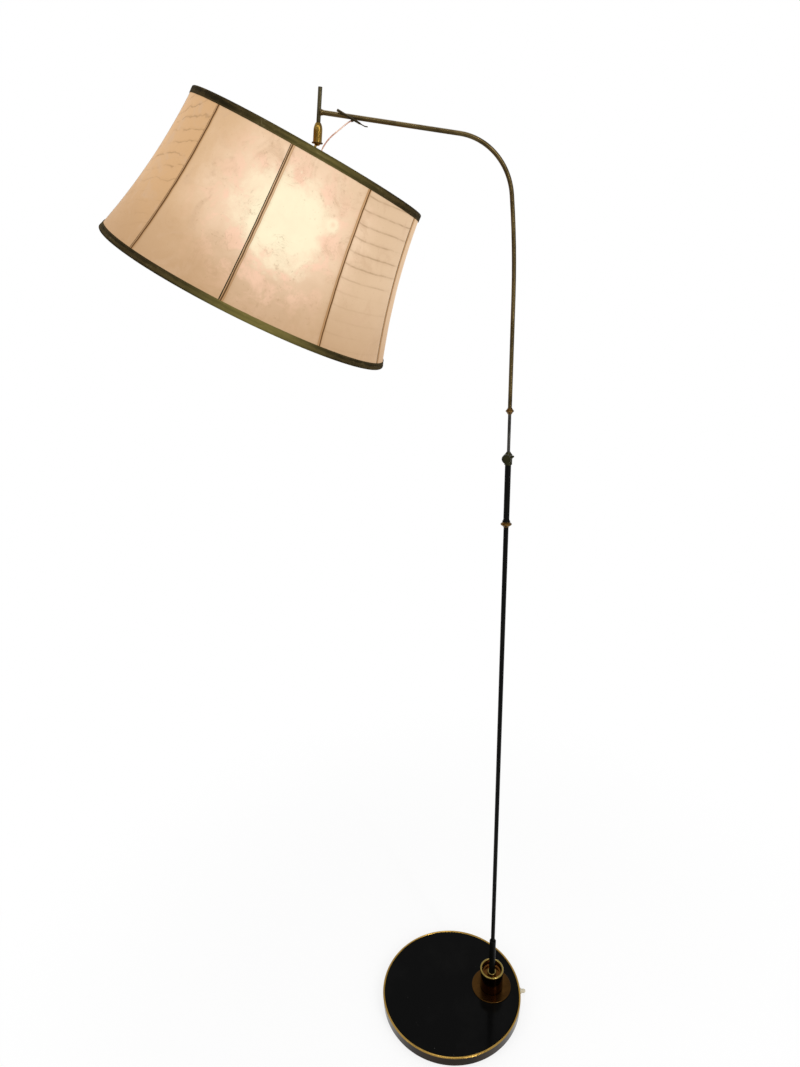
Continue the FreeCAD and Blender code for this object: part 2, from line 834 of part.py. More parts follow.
def make_arm():
    bottom = upper_bead_height + s.upper_bead_half
    body = new_body("arm_sweep_body", pole_frame)
    pipe(body, "arm", arm_path(bottom, s.arm_reach - s.handle_radius - 0.1),
         s.arm_radius, s.arm_bore, bottom)
    _, outlet = spout_frame()
    opening = cylinder("lead_opening", s.spout_bore, s.spout_length, outlet)
    keep(cut_away("arm_with_opening", body, opening), "arm_tube")

    back = axis_frame(arm_end, 90 + arm_rise)
    collar = turned("arm_collar_turning", [
        (s.arm_radius + 0.02, 1),
        (s.arm_collar_radius, 1),
        (s.arm_collar_radius, 1.9),
        via(s.arm_collar_waist + 0.35, s.arm_collar_length * 0.62),
        (s.arm_collar_waist, s.arm_collar_length),
        (s.arm_radius + 0.02, s.arm_collar_length),
    ], back, listed=False)
    start = arm_end - handle_up * 10
    saddle = cylinder("arm_collar_saddle", s.handle_radius + 0.02, 20,
                      axis_frame(start, sizes["handle_lean"]))
    keep(cut_away("arm_collar_cut", collar, saddle), "arm_collar")

    spout = new_body("spout_turning", outlet)
    ring = sketch_on(spout, "XY_Plane", "spout_ring", 0)
    circle(ring, s.spout_radius)
    circle(ring, s.spout_bore)
    pad(spout, ring, s.spout_length, "spout_pad")
    start = arm_end - arm_direction * 70
    inside_arm = cylinder("spout_saddle", s.arm_radius + 0.02, 60,
                          axis_frame(start, arm_rise - 90))
    keep(cut_away("spout_cut", spout, inside_arm), "lead_spout")


def make_cord_hook():
    """A tapered wire hook brazed across the front of the arm beside the lead's outlet."""
    crossing = arm_end - arm_direction * 35.9
    reach = 14.1
    start = crossing - direction(-sizes["hook_slope"]) * reach
    thick = sizes["arm_radius"] + sizes["hook_radius"] - 0.1
    place = axis_frame(start + Vector(0, -thick, 0), 90 + sizes["hook_slope"])
    hook = new_body("cord_hook", place)
    sketch = sketch_on(hook, "XZ_Plane", "cord_hook_section")
    draw(sketch, [
        (0, 0),
        (s.hook_radius - 0.3, 0),
        (s.hook_radius, 0.5),
        (s.hook_tip_radius, s.hook_length),
        (s.hook_wire, s.hook_length + 3),
        (0, s.hook_length + 3),
    ])
    turn = hook.newObject("PartDesign::Revolution", "cord_hook_turn")
    turn.Profile = sketch
    turn.ReferenceAxis = (sketch, ["V_Axis"])
    turn.Angle = 360
    doc.recompute()
    path = [
        (0, s.hook_length + 2),
        (0, s.hook_length + 6),
        via(-0.13, s.hook_length + 7.5),
        (-0.5, s.hook_length + 9),
        (-1.5, s.hook_length + 11.5),
    ]
    tail = pipe(hook, "hook_tail", path, s.hook_wire, None, s.hook_length + 2)
    hook.Tip = tail
    keep(hook, "cord_hook")


def make_handle():
    tube("handle_tube", s.handle_bore, s.handle_radius, s.tube_seat,
         s.handle_below + s.handle_above, handle_frame)
    top = s.handle_below + s.handle_above
    turned("handle_plug", [
        (0, top - s.plug_depth),
        (s.handle_bore - 0.05, top - s.plug_depth),
        (s.handle_bore - 0.05, top),
        (s.handle_radius, top),
        (s.handle_radius, top + s.plug_rim - 0.3),
        (s.handle_radius - 0.4, top + s.plug_rim),
        (0, top + s.plug_rim),
    ], handle_frame)


# ---- ball joint


def on_sphere(radius, height):
    """The distance from the axis of the point of a sphere at that height."""
    return (radius * radius - height * height).root()


def make_ball_joint():
    neck_bore = s.handle_radius + 0.03
    turned("ball_housing", [
        (s.housing_bore, s.lip_top),
        (s.housing_radius, s.lip_top),
        (s.housing_radius, s.housing_shoulder),
        via(s.housing_radius - 0.75, s.housing_shoulder + 4.6),
        (s.housing_neck, s.housing_top - 0.6),
        (s.housing_neck - 0.4, s.housing_top),
        (neck_bore, s.housing_top),
        (neck_bore, s.housing_seat + s.housing_bore - neck_bore),
        (s.housing_bore, s.housing_seat),
    ], handle_frame)
    socket = s.ball_radius + s.joint_gap
    middle = (s.lip_top + s.lip_bottom) / 2
    turned("housing_lip", [
        (on_sphere(socket, s.lip_top), s.lip_top),
        (s.lip_radius - 0.3, s.lip_top),
        (s.lip_radius, s.lip_top - 0.3),
        (s.lip_radius, s.lip_bottom + 0.8),
        (s.lip_radius - 0.7, s.lip_bottom),
        (on_sphere(socket, s.lip_bottom), s.lip_bottom),
        via(on_sphere(socket, middle), middle),
    ], handle_frame)

    edge = s.pad_half_angle
    half = edge / 2
    turned("friction_pad", [
        (0, socket),
        via(socket * half.sine(), socket * half.cosine()),
        (socket * edge.sine(), socket * edge.cosine()),
        (s.pad_radius * edge.sine(), s.pad_radius * edge.cosine()),
        via(s.pad_radius * half.sine(), s.pad_radius * half.cosine()),
        (0, s.pad_radius),
    ], handle_frame)
    hollow = s.pad_radius + s.joint_gap
    edge = s.cup_half_angle
    half = edge / 2
    turned("pressure_cup", [
        (0, hollow),
        via(hollow * half.sine(), hollow * half.cosine()),
        (hollow * edge.sine(), hollow * edge.cosine()),
        (s.housing_bore - s.slip_fit, hollow * edge.cosine() + 0.3),
        (s.housing_bore - s.slip_fit, s.pressure_cup_top),
        (0, s.pressure_cup_top),
    ], handle_frame)
    turned("spring_washer", [
        (1.0, s.tube_seat - 0.75),
        (s.housing_bore - 0.4, s.pressure_cup_top + 0.02),
        (s.housing_bore - 0.4, s.pressure_cup_top + 0.62),
        (1.0, s.tube_seat - 0.1),
    ], handle_frame)

    turned("ball_stem", [
        (0, s.ball_radius),
        via(s.ball_radius, 0),
        (s.stem_radius, -on_sphere(s.ball_radius, s.stem_radius)),
        (s.stem_radius, s.stem_collar_top),
        (s.stem_collar_radius - 0.5, s.stem_collar_top),
        (s.stem_collar_radius, s.stem_collar_top - 0.5),
        (s.stem_collar_radius, s.stem_collar_bottom),
        (s.spigot_radius + 0.9, s.stem_collar_bottom),
        (s.spigot_radius + 0.9, s.holder_top),
        (s.spigot_radius, s.holder_top),
        (s.spigot_radius, s.spigot_bottom),
        (0, s.spigot_bottom),
    ], head_frame)


# ---- lampholder and bulb


def make_lampholder():
    crown_bore = s.spigot_radius + s.slip_fit
    inside = s.holder_radius - s.holder_wall
    bow = 0.72
    top = s.holder_top - 2
    width = s.holder_radius - s.holder_crown
    fall = top - s.holder_shoulder
    cap = turned("holder_cap_turning", [
        (crown_bore, s.holder_top),
        (s.holder_crown, s.holder_top),
        (s.holder_crown, top),
        via(s.holder_crown + width * bow, top - fall * (1 - bow)),
        (s.holder_radius, s.holder_shoulder),
        (s.holder_radius, s.holder_split),
        (inside, s.holder_split),
        (inside, s.holder_shoulder),
        via(s.holder_crown + width * bow - 0.8 * s.holder_wall,
            top - fall * (1 - bow) - 0.8 * s.holder_wall),
        (s.holder_crown, top - s.holder_wall),
        (crown_bore, top - s.holder_wall),
    ], head_frame, listed=False)
    inlet = cylinder("lead_inlet_hole", s.inlet_radius, 12, head_frame.multiply(
        Placement(Vector(sizes["inlet_offset"], 0, sizes["holder_top"] - 14), Rotation())))
    keep(cut_away("holder_cap_drilled", cap, inlet), "holder_cap")
    skirt_bore = s.holder_skirt - s.holder_wall
    turned("holder_skirt", [
        (skirt_bore, s.holder_split),
        (s.holder_skirt, s.holder_split),
        (s.holder_skirt, s.holder_bottom + 1.2),
        (s.holder_skirt - 0.6, s.holder_bottom),
        (skirt_bore - 1.6, s.holder_bottom),
        (skirt_bore - 1.6, s.holder_bottom + 1.2),
        (skirt_bore, s.holder_bottom + 1.2),
    ], head_frame)
    shell_outside = s.shell_radius + s.slip_fit
    turned("porcelain_core", [
        (0, s.porcelain_top),
        (s.porcelain_radius - 1, s.porcelain_top),
        (s.porcelain_radius, s.porcelain_top - 1),
        (s.porcelain_radius, s.porcelain_bottom),
        (shell_outside, s.porcelain_bottom),
        (shell_outside, s.porcelain_floor),
        (0, s.porcelain_floor),
    ], head_frame)
    tube("screw_shell", s.shell_bore, s.shell_radius, s.porcelain_bottom + 0.5,
         s.porcelain_floor, head_frame)
    turned("centre_contact", [
        (0, s.porcelain_floor),
        (5, s.porcelain_floor),
        (5, s.porcelain_floor - 0.8),
        via(3.2, s.porcelain_floor - 2.2),
        (0, s.cap_tip + 0.1),
    ], head_frame)
    ring_bore = s.holder_skirt + s.slip_fit
    half_wire = s.carrier_wire + 0.1
    for label, bottom in (("upper_shade_ring", s.carrier_height + half_wire),
                          ("lower_shade_ring", s.carrier_height - half_wire - s.ring_thickness)):
        turned(label, [
            (ring_bore, bottom),
            (s.ring_radius - 0.6, bottom),
            (s.ring_radius, bottom + 0.6),
            (s.ring_radius, bottom + s.ring_thickness - 0.6),
            (s.ring_radius - 0.6, bottom + s.ring_thickness),
            (ring_bore, bottom + s.ring_thickness),
        ], head_frame)


def make_bulb():
    turned("bulb_cap", [
        (0, s.cap_tip),
        (4.4, s.cap_tip),
        (5.0, s.cap_tip - 1.6),
        (s.cap_radius - 1.6, s.cap_tip - 4.5),
        (s.cap_radius, s.cap_tip - 6.2),
        (s.cap_radius, s.cap_bottom),
        (0, s.cap_bottom),
    ], head_frame)
    inner = s.bulb_radius - s.bulb_wall
    shoulder = s.bulb_height + s.bulb_shoulder
    outer_start = on_sphere(s.bulb_radius, s.bulb_shoulder)
    inner_start = on_sphere(inner, s.bulb_shoulder)
    neck = s.cap_radius + 0.5
    turned("bulb_glass", [
        (neck - s.bulb_wall, s.cap_bottom),
        (neck, s.cap_bottom),
        (neck, s.cap_bottom - 4),
        via(neck + 1.9, (s.cap_bottom + shoulder) / 2 - 4),
        (outer_start, shoulder),
        via(s.bulb_radius, s.bulb_height),
        (0, s.bulb_height - s.bulb_radius),
        (0, s.bulb_height - inner),
        via(inner, s.bulb_height),
        (inner_start, shoulder),
        via(neck + 1.9 - s.bulb_wall, (s.cap_bottom + shoulder) / 2 - 4),
        (neck - s.bulb_wall, s.cap_bottom - 4),
    ], head_frame)


# ---- shade


def wall_radius(share):
    """The parchment's outer radius at a share of the shade's height, from its top down."""
    grown = (s.shade_bottom_radius - s.shade_top_radius) * share
    return s.shade_top_radius + grown - 4 * s.shade_waist * share * (1 - share)


def shade_level(share):
    return -s.shade_drop - s.shade_height * share


def ring_radius(share):
    """The radius of the frame wires' centre lines."""
    return wall_radius(share) - s.wire_depth


def seam_angles():
    """Where the ribs stand: three measured front panels, and the others share the rest."""
    front = [sizes[f"front_panel_{place}"] for place in ("left", "middle", "right")]
    others = int(sizes["panel_count"]) - len(front)
    widths = front + [(360 - sum(front)) / others] * others
    angles = [sizes["first_seam"]]
    for width in widths[:-1]:
        angles.append(angles[-1] + width)
    return angles, widths


def panel_formulas():
    """The width of each panel as a Size, in the order of the seams."""
    front = [s.front_panel_left, s.front_panel_middle, s.front_panel_right]
    others = int(sizes["panel_count"]) - len(front)
    rest = (360 - front[0] - front[1] - front[2]) / (s.panel_count - len(front))
    return front + [rest] * others


def make_parchment():
    edge = (2 * s.wire_radius + s.trim_gap + s.trim_wall + 0.4) / s.shade_height
    levels = [edge, as_size(0.5), 1 - edge]
    outer = [(wall_radius(share), shade_level(share)) for share in levels]
    inner = [(radius - s.parchment, height) for radius, height in outer]
    outline = [outer[0], via(*outer[1]), outer[2], inner[2], via(*inner[1]), inner[0]]
    angles, widths = seam_angles()
    for number, width in enumerate(panel_formulas()):
        middle = angles[number] + widths[number] / 2
        place = head_frame.multiply(Placement(Vector(), Rotation(Vector(0, 0, 1), middle)))
        turned(f"parchment_panel_{number + 1}", outline, place, sweep=width - s.panel_gap)


def make_shade_trims():
    """Cloth tape folded over each wire ring and the parchment's edge."""
    wire_gap = s.wire_radius + s.trim_gap
    around = wire_gap + s.trim_wall
    for label, edge, sign in (("top_trim", 0, -1), ("bottom_trim", 1, 1)):
        height = as_size(edge)
        outside = height - sign * s.trim_outside / s.shade_height
        inside = height - sign * s.trim_inside / s.shade_height
        level = shade_level(height) + sign * around
        ring = ring_radius(height - sign * around / s.shade_height)
        out_radius = wall_radius(outside) + s.tape_gap + 0.1
        in_radius = ring_radius(inside) - s.rib_radius - s.tape_gap
        turned(label, [
            (ring + around, level),
            (out_radius + s.trim_wall, shade_level(outside)),
            (out_radius, shade_level(outside)),
            (ring + wire_gap, level),
            via(ring, level - sign * wire_gap),
            (ring - wire_gap, level),
            (in_radius, shade_level(inside)),
            (in_radius - s.trim_wall, shade_level(inside)),
            (ring - around, level),
            via(ring, level - sign * around),
        ], head_frame)


def make_shade_rings():
    around = s.wire_radius + s.trim_gap + s.trim_wall
    for label, edge, sign in (("top_ring", 0, -1), ("bottom_ring", 1, 1)):
        height = as_size(edge)
        share = height - sign * around / s.shade_height
        ring = doc.addObject("Part::Torus", label)
        ring.setExpression("Radius1", ring_radius(share).formula)
        ring.setExpression("Radius2", s.wire_radius.formula)
        centre = Vector(0, 0, (shade_level(height) + sign * around).value)
        ring.Placement = head_frame.multiply(Placement(centre, Rotation()))
        keep(ring, label)


def make_ribs():
    """The upright wires: one bar bent to the waisted wall behind every seam."""
    reach = sizes["wire_radius"] * 2 + sizes["trim_wall"] + sizes["trim_gap"] + 0.2
    edge = reach / sizes["shade_height"]
    points = [Vector(ring_radius(as_size(share)).value, 0, shade_level(as_size(share)).value)
              for share in (edge, 0.5, 1 - edge)]
    path = Part.Wire([Part.Arc(*points).toShape()])
    start = path.Edges[0]
    first = start.FirstParameter
    ring = Part.Circle(start.valueAt(first), start.tangentAt(first), sizes["rib_radius"])
    bar = path.makePipeShell([Part.Wire([ring.toShape()])], True, True)
    bars = []
    for angle in seam_angles()[0]:
        turn = Placement(Vector(), Rotation(Vector(0, 0, 1), angle))
        bars.append(bar.transformed(turn.toMatrix()))
    ribs = doc.addObject("Part::Feature", "shade_ribs")
    ribs.Shape = Part.makeCompound(bars)
    ribs.Placement = head_frame
    keep(ribs, "shade_ribs")


def make_carrier():
    """The spider: a ring clamped on the lampholder and three arms to the ribs below the trim."""
    drop = s.trim_inside + 2 * s.carrier_wire
    far = ring_radius(drop / s.shade_height) - s.rib_radius - 0.1
    rise = -s.shade_drop - drop - s.carrier_height + s.arm_sink
    ring = doc.addObject("Part::Torus", "carrier_ring")
    ring.setExpression("Radius1", s.carrier_ring.formula)
    ring.setExpression("Radius2", s.carrier_wire.formula)
    ring.Placement = head_frame.multiply(Placement(Vector(0, 0, sizes["carrier_height"]),
                                                   Rotation()))
    run = far.value - sizes["carrier_ring"]
    length = math.hypot(run, rise.value)
    slope = math.degrees(math.atan2(run, rise.value))
    pieces = [ring]
    angles = seam_angles()[0]
    step = len(angles) // int(sizes["carrier_arms"])
    for number in range(int(sizes["carrier_arms"])):
        turn = Placement(Vector(), Rotation(Vector(0, 0, 1), angles[1 + step * number]))
        foot = Vector(sizes["carrier_ring"], 0, sizes["carrier_height"] - sizes["arm_sink"])
        lean = axis_frame(foot, slope)
        arm = doc.addObject("Part::Cylinder", f"carrier_arm_{number + 1}")
        arm.setExpression("Radius", (s.carrier_wire - s.arm_sink).formula)
        arm.Height = length
        arm.Placement = head_frame.multiply(turn).multiply(lean)
        pieces.append(arm)
    spider = doc.addObject("Part::MultiFuse", "carrier_fused")
    spider.Shapes = pieces
    keep(spider, "shade_carrier")


# ---- leads


def rounded_route(points, radii_of=None):
    """Straight runs between points, joined by tangent arcs as large as the runs allow."""
    edges = []
    here = points[0]
    for before, corner, after in zip(points, points[1:], points[2:]):
        to_before = before - corner
        to_after = after - corner
        shorter = min(to_before.Length, to_after.Length)
        to_before.normalize()
        to_after.normalize()
        half_turn = (math.pi - to_before.getAngle(to_after)) / 2
        trim = 0.45 * shorter
        radius = trim / math.tan(half_turn)
        middle = to_before + to_after
        middle.normalize()
        bow = radius / math.cos(half_turn) - radius
        start = corner + to_before * trim
        finish = corner + to_after * trim
        edges.append(Part.LineSegment(here, start).toShape())
        edges.append(Part.Arc(start, corner + middle * bow, finish).toShape())
        here = finish
        if radii_of:
            print(f"{radii_of}: arc radius {radius:.1f}")
    edges.append(Part.LineSegment(here, points[-1]).toShape())
    return Part.Wire(edges)


def swept(label, wire, radius):
    """A round cord along a wire."""
    start = wire.OrderedEdges[0]
    first = start.FirstParameter
    ring = Part.Circle(start.valueAt(first), start.tangentAt(first), radius)
    solid = wire.makePipeShell([Part.Wire([ring.toShape()])], True, True)
    cord = doc.addObject("Part::Feature", label)
    cord.Shape = solid
    length = wire.Length
    print(f"{label}: {length:.1f} mm long, volume ratio "
          f"{solid.Volume / (math.pi * radius ** 2 * length):.4f}")
    return keep(cord, label)


def flat_points(pairs):
    return [Vector(x, 0, z) for x, z in pairs]


lead_split = (-157.3, 1640.9)
upper_lead = [(-130.8, 1656.9), (-136.9, 1654.7), (-142.4, 1651.4), (-148.2, 1647.2),
              (-154.2, 1643.0), lead_split]
lower_lead = [lead_split, (-160.4, 1638.8), (-165.6, 1634.3), (-170.0, 1629.6),
              (-173.9, 1624.1), (-177.1, 1617.7), (-179.9, 1612.7)]


def make_leads():
    radius = sizes["lead_radius"]
    swept("lamp_lead_upper", rounded_route(flat_points(upper_lead), "lamp_lead_upper"), radius)
    swept("lamp_lead_lower", rounded_route(flat_points(lower_lead), "lamp_lead_lower"), radius)


make_base()
make_base_fixings()
make_gland()
make_pole_foot()
make_pole()
make_clamp()
make_rod()
make_arm()
make_cord_hook()
make_handle()
make_ball_joint()
make_lampholder()
make_bulb()
make_parchment()
make_shade_trims()
make_shade_rings()
make_ribs()
make_carrier()
make_leads()
doc.recompute()

for thing in doc.Objects:
    if "Invalid" in thing.State or "Error" in thing.State:
        raise ValueError(f"{thing.Label} failed: {thing.State}")
for node in nodes:
    if node.Shape.isNull() or not node.Shape.isValid() or not node.Shape.Solids:
        raise ValueError(f"{node.Label} has no sound solid")

os.makedirs("parts", exist_ok=True)
for node in nodes:
    node.Shape.exportStep(f"parts/{node.Label}.step")
print(f"{len(nodes)} sub-parts written")
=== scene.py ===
import math

import bpy
import numpy as np
from mathutils import Matrix, Vector


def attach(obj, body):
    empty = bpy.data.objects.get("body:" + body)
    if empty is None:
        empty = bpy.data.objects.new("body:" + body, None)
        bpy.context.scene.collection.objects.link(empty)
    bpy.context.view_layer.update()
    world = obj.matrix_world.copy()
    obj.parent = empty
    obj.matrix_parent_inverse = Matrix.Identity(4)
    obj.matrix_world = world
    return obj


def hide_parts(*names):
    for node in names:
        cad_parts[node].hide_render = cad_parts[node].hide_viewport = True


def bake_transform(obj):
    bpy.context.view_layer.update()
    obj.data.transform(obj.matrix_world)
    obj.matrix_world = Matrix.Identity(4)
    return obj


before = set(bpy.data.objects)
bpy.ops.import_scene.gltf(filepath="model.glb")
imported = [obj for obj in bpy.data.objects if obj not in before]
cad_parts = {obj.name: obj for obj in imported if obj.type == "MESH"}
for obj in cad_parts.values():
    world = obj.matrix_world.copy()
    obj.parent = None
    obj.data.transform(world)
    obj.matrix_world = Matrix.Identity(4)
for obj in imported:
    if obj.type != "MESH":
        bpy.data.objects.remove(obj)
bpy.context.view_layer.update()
print("frame loaded")

# The shade hangs on a ball joint. Its own frame starts at the ball and is turned about Y,
# so its z runs up the lampholder's axis.
head = {
    "ball": np.array([-0.180186, 0.0, 1.632042]),
    "tilt": math.radians(28.8),
    "drop": 0.0164,
    "height": 0.2035,
    "topRadius": 0.1605,
    "bottomRadius": 0.2058,
    "waist": 0.0064,
    "wall": 0.0009,
    "wireDepth": 0.0009,
    "seams": [-132.3, -95.2, -59.45, -21.2],
    "panels": 9,
}
restWidth = (360 - head["seams"][-1] + head["seams"][0]) / (head["panels"] - 3)
while len(head["seams"]) < head["panels"]:
    head["seams"].append(head["seams"][-1] + restWidth)


def placeInHead(points):
    # x cos + z sin, y and z cos - x sin of the tilt: a turn about Y, then a move to the ball
    c, s = math.cos(head["tilt"]), math.sin(head["tilt"])
    x, y, z = points[..., 0], points[..., 1], points[..., 2]
    return np.stack([x * c + z * s, y, -x * s + z * c], axis=-1) + head["ball"]


def wallRadius(share):
    # a straight taper from the top to the bottom, less 4 s (1 - s) of the waist
    grown = (head["bottomRadius"] - head["topRadius"]) * share
    return head["topRadius"] + grown - 4 * head["waist"] * share * (1 - share)


def wallHeight(share):
    # down from the ball by the drop and that share of the height
    return -head["drop"] - head["height"] * share


def signedVolume(points, quads, caps):
    # a sixth of the sum of a . (b x c) over all triangles, each face cut into a fan from its
    # first corner: above zero where the faces point outwards
    fans = [(cap[0], cap[k], cap[k + 1]) for cap in caps for k in range(1, len(cap) - 1)]
    corners = np.concatenate([quads[:, [0, 1, 2]], quads[:, [0, 2, 3]],
                              np.array(fans, int).reshape(-1, 3)])
    a, b, c = points[corners].transpose(1, 0, 2)
    return np.einsum("ij,ij->i", a, np.cross(b, c)).sum() / 6


def sweepMesh(name, rings, across, along, closed=False, attributes=None, sharp=40):
    # a tube through rings, an array of stations by points round the section by xyz: the face
    # at (i, j) has the corners (i, j), (i, j + 1), (i + 1, j + 1) and (i + 1, j), and a tube
    # that isn't closed on itself gets two flat caps. along has a length for each station and
    # across one round the section, both in metres, for the UV map.
    count, size = rings.shape[:2]
    i = np.arange(count if closed else count - 1)[:, None] + np.zeros((1, size), int)
    j = np.arange(size)[None, :] + np.zeros_like(i)
    afterI, afterJ = (i + 1) % count, (j + 1) % size
    quads = np.stack([i * size + j, i * size + afterJ, afterI * size + afterJ,
                      afterI * size + j], axis=-1).reshape(-1, 4)
    caps = [] if closed else [list(range(size - 1, -1, -1)),
                              list(range((count - 1) * size, count * size))]
    points = rings.reshape(-1, 3)
    mesh = bpy.data.meshes.new(name)
    mesh.from_pydata(points.tolist(), [], quads.tolist() + caps)
    wrapI = np.stack([i, i, i + 1, i + 1], axis=-1).reshape(-1, 4)
    wrapJ = np.stack([j, j + 1, j + 1, j], axis=-1).reshape(-1, 4)
    uv = np.zeros((len(mesh.loops), 2))
    uv[:quads.size, 0] = along[wrapI.ravel()]
    uv[:quads.size, 1] = across[wrapJ.ravel()]
    layer = mesh.uv_layers.new(name="Strip")
    layer.data.foreach_set("uv", uv.ravel())
    for title, values in (attributes or {}).items():
        layer = mesh.attributes.new(title, "FLOAT", "POINT")
        layer.data.foreach_set("value", np.broadcast_to(values, rings.shape[:2]).ravel())
    if signedVolume(points, quads, caps) < 0:
        mesh.flip_normals()
    mesh.polygons.foreach_set("use_smooth", np.ones(len(mesh.polygons), bool))
    mesh.set_sharp_from_angle(angle=math.radians(sharp))
    piece = bpy.data.objects.new(name, mesh)
    bpy.context.scene.collection.objects.link(piece)
    return piece


def waves(seed, count, low, high):
    # the mean of a few sines, sin(rate t + phase), with seeded rates and phases
    spread = np.random.default_rng(seed)
    rates = spread.uniform(low, high, count)
    phases = spread.uniform(0, 2 * math.pi, count)
    return lambda t: sum(np.sin(rates[k] * t + phases[k]) for k in range(count)) / count


class Value:
    # an output socket that can be used in plain arithmetic
    def __init__(self, shade, socket):
        self.shade = shade
        self.socket = socket

    def apply(self, operation, *others, clamp=False):
        node = self.shade.node("ShaderNodeMath", {"operation": operation, "use_clamp": clamp},
                               dict(enumerate((self, *others))))
        return self.shade.value(node)

    def __add__(self, other):
        return self.apply("ADD", other)

    __radd__ = __add__

    def __sub__(self, other):
        return self.apply("SUBTRACT", other)

    def __rsub__(self, other):
        return (self * -1) + other

    def __mul__(self, other):
        return self.apply("MULTIPLY", other)

    __rmul__ = __mul__

    def __truediv__(self, other):
        return self.apply("DIVIDE", other)

    def __pow__(self, other):
        return self.apply("POWER", other)

    def absolute(self):
        return self.apply("ABSOLUTE")

    def sine(self):
        return self.apply("SINE")

    def root(self):
        return self.apply("SQRT")

    def fraction(self):
        return self.apply("FRACT")

    def clipped(self):
        return self.apply("ADD", 0.0, clamp=True)

    def ramp(self, low, high):
        # 0 below low, 1 above high, smooth between
        node = self.shade.node("ShaderNodeMapRange", {"interpolation_type": "SMOOTHSTEP"},
                               {"Value": self, "From Min": low, "From Max": high})
        return self.shade.value(node)

    def bell(self, centre, width):
        # 1 at centre, falling to about a third one width away
        return (((self - centre) / width) ** 2 * -1).apply("EXPONENT")


class Shade:
    # the nodes of a material or of the world, being built
    def __init__(self, name, kind="Material"):
        home = {"Material": bpy.data.materials, "World": bpy.data.worlds}[kind]
        self.owner = home.new(name)
        self.owner.use_nodes = True
        self.tree = self.owner.node_tree
        self.tree.nodes.clear()
        self.output = self.tree.nodes.new("ShaderNodeOutput" + kind)

    def feed(self, slot, value):
        if isinstance(value, Value):
            self.tree.links.new(value.socket, slot)
        elif isinstance(value, (tuple, list)):
            size = len(slot.default_value)
            slot.default_value = (list(value) + [1.0])[:size]
        else:
            slot.default_value = value

    def node(self, kind, settings=None, inputs=None):
        made = self.tree.nodes.new(kind)
        for key, value in (settings or {}).items():
            setattr(made, key, value)
        for key, value in (inputs or {}).items():
            self.feed(made.inputs[key], value)
        return made

    def value(self, made, output=0):
        return Value(self, made.outputs[output])

    def coordinates(self):
        return self.value(self.node("ShaderNodeTexCoord"), "Object")

    def strip(self):
        # the mesh's own UV: metres along and round the piece
        return self.split(self.value(self.node("ShaderNodeUVMap", {"uv_map": "Strip"})))[:2]

    def split(self, vector):
        made = self.node("ShaderNodeSeparateXYZ", None, {0: vector})
        return [self.value(made, k) for k in range(3)]

    def join(self, x, y, z):
        return self.value(self.node("ShaderNodeCombineXYZ", None, {0: x, 1: y, 2: z}))

    def attribute(self, name):
        made = self.node("ShaderNodeAttribute", {"attribute_name": name})
        return self.value(made, "Fac")

    def noise(self, vector, scale, detail=3, roughness=0.55, distortion=0.0):
        made = self.node("ShaderNodeTexNoise", None, {
            "Vector": vector, "Scale": scale, "Detail": detail,
            "Roughness": roughness, "Distortion": distortion})
        return self.value(made, 0)

    def cells(self, vector, scale, feature="F1"):
        made = self.node("ShaderNodeTexVoronoi", {"feature": feature},
                         {"Vector": vector, "Scale": scale})
        return self.value(made, "Distance")

    def mix(self, share, first, second):
        made = self.node("ShaderNodeMix", {"data_type": "RGBA"}, {0: share, 6: first, 7: second})
        return self.value(made, 2)

    def mixShader(self, share, first, second):
        return self.node("ShaderNodeMixShader", None, {
            0: share, 1: self.value(first), 2: self.value(second)})

    def bump(self, height, distance, strength=1.0):
        made = self.node("ShaderNodeBump", None, {
            "Height": height, "Distance": distance, "Strength": strength})
        return self.value(made)

    def seenStraight(self):
        # 1 for the rays that show the background: straight, in a mirror or through glass
        path = self.node("ShaderNodeLightPath")
        return (self.value(path, "Is Camera Ray") + self.value(path, "Is Glossy Ray")
                + self.value(path, "Is Transmission Ray")).clipped()

    def finish(self, made):
        self.feed(self.output.inputs["Surface"], self.value(made))
        return self.owner

    def surface(self, inputs):
        return self.finish(self.node("ShaderNodeBsdfPrincipled", None, inputs))


def headParts(shade):
    # a point in the head's own frame: taken from the ball, then turned back by the tilt
    x, y, z = shade.split(shade.coordinates())
    c, s = math.cos(head["tilt"]), math.sin(head["tilt"])
    dx, dz = x - float(head["ball"][0]), z - float(head["ball"][2])
    return dx * c - dz * s, y, dx * s + dz * c


def distanceTo(shade, place, bothSides=False):
    # how far a point lies from a place in the head's frame, or with bothSides from it and
    # from its mirror image behind
    x, y, z = headParts(shade)
    depth = y.absolute() if bothSides else y
    return ((x - place[0]) ** 2 + (depth - place[1]) ** 2 + (z - place[2]) ** 2).root()


def linear(red, green, blue):
    # a colour as a screen shows it, 0 to 255, in linear light
    parts = []
    for part in (red, green, blue):
        part /= 255
        parts.append(part / 12.92 if part <= 0.04045 else ((part + 0.055) / 1.055) ** 2.4)
    return tuple(parts) + (1.0,)


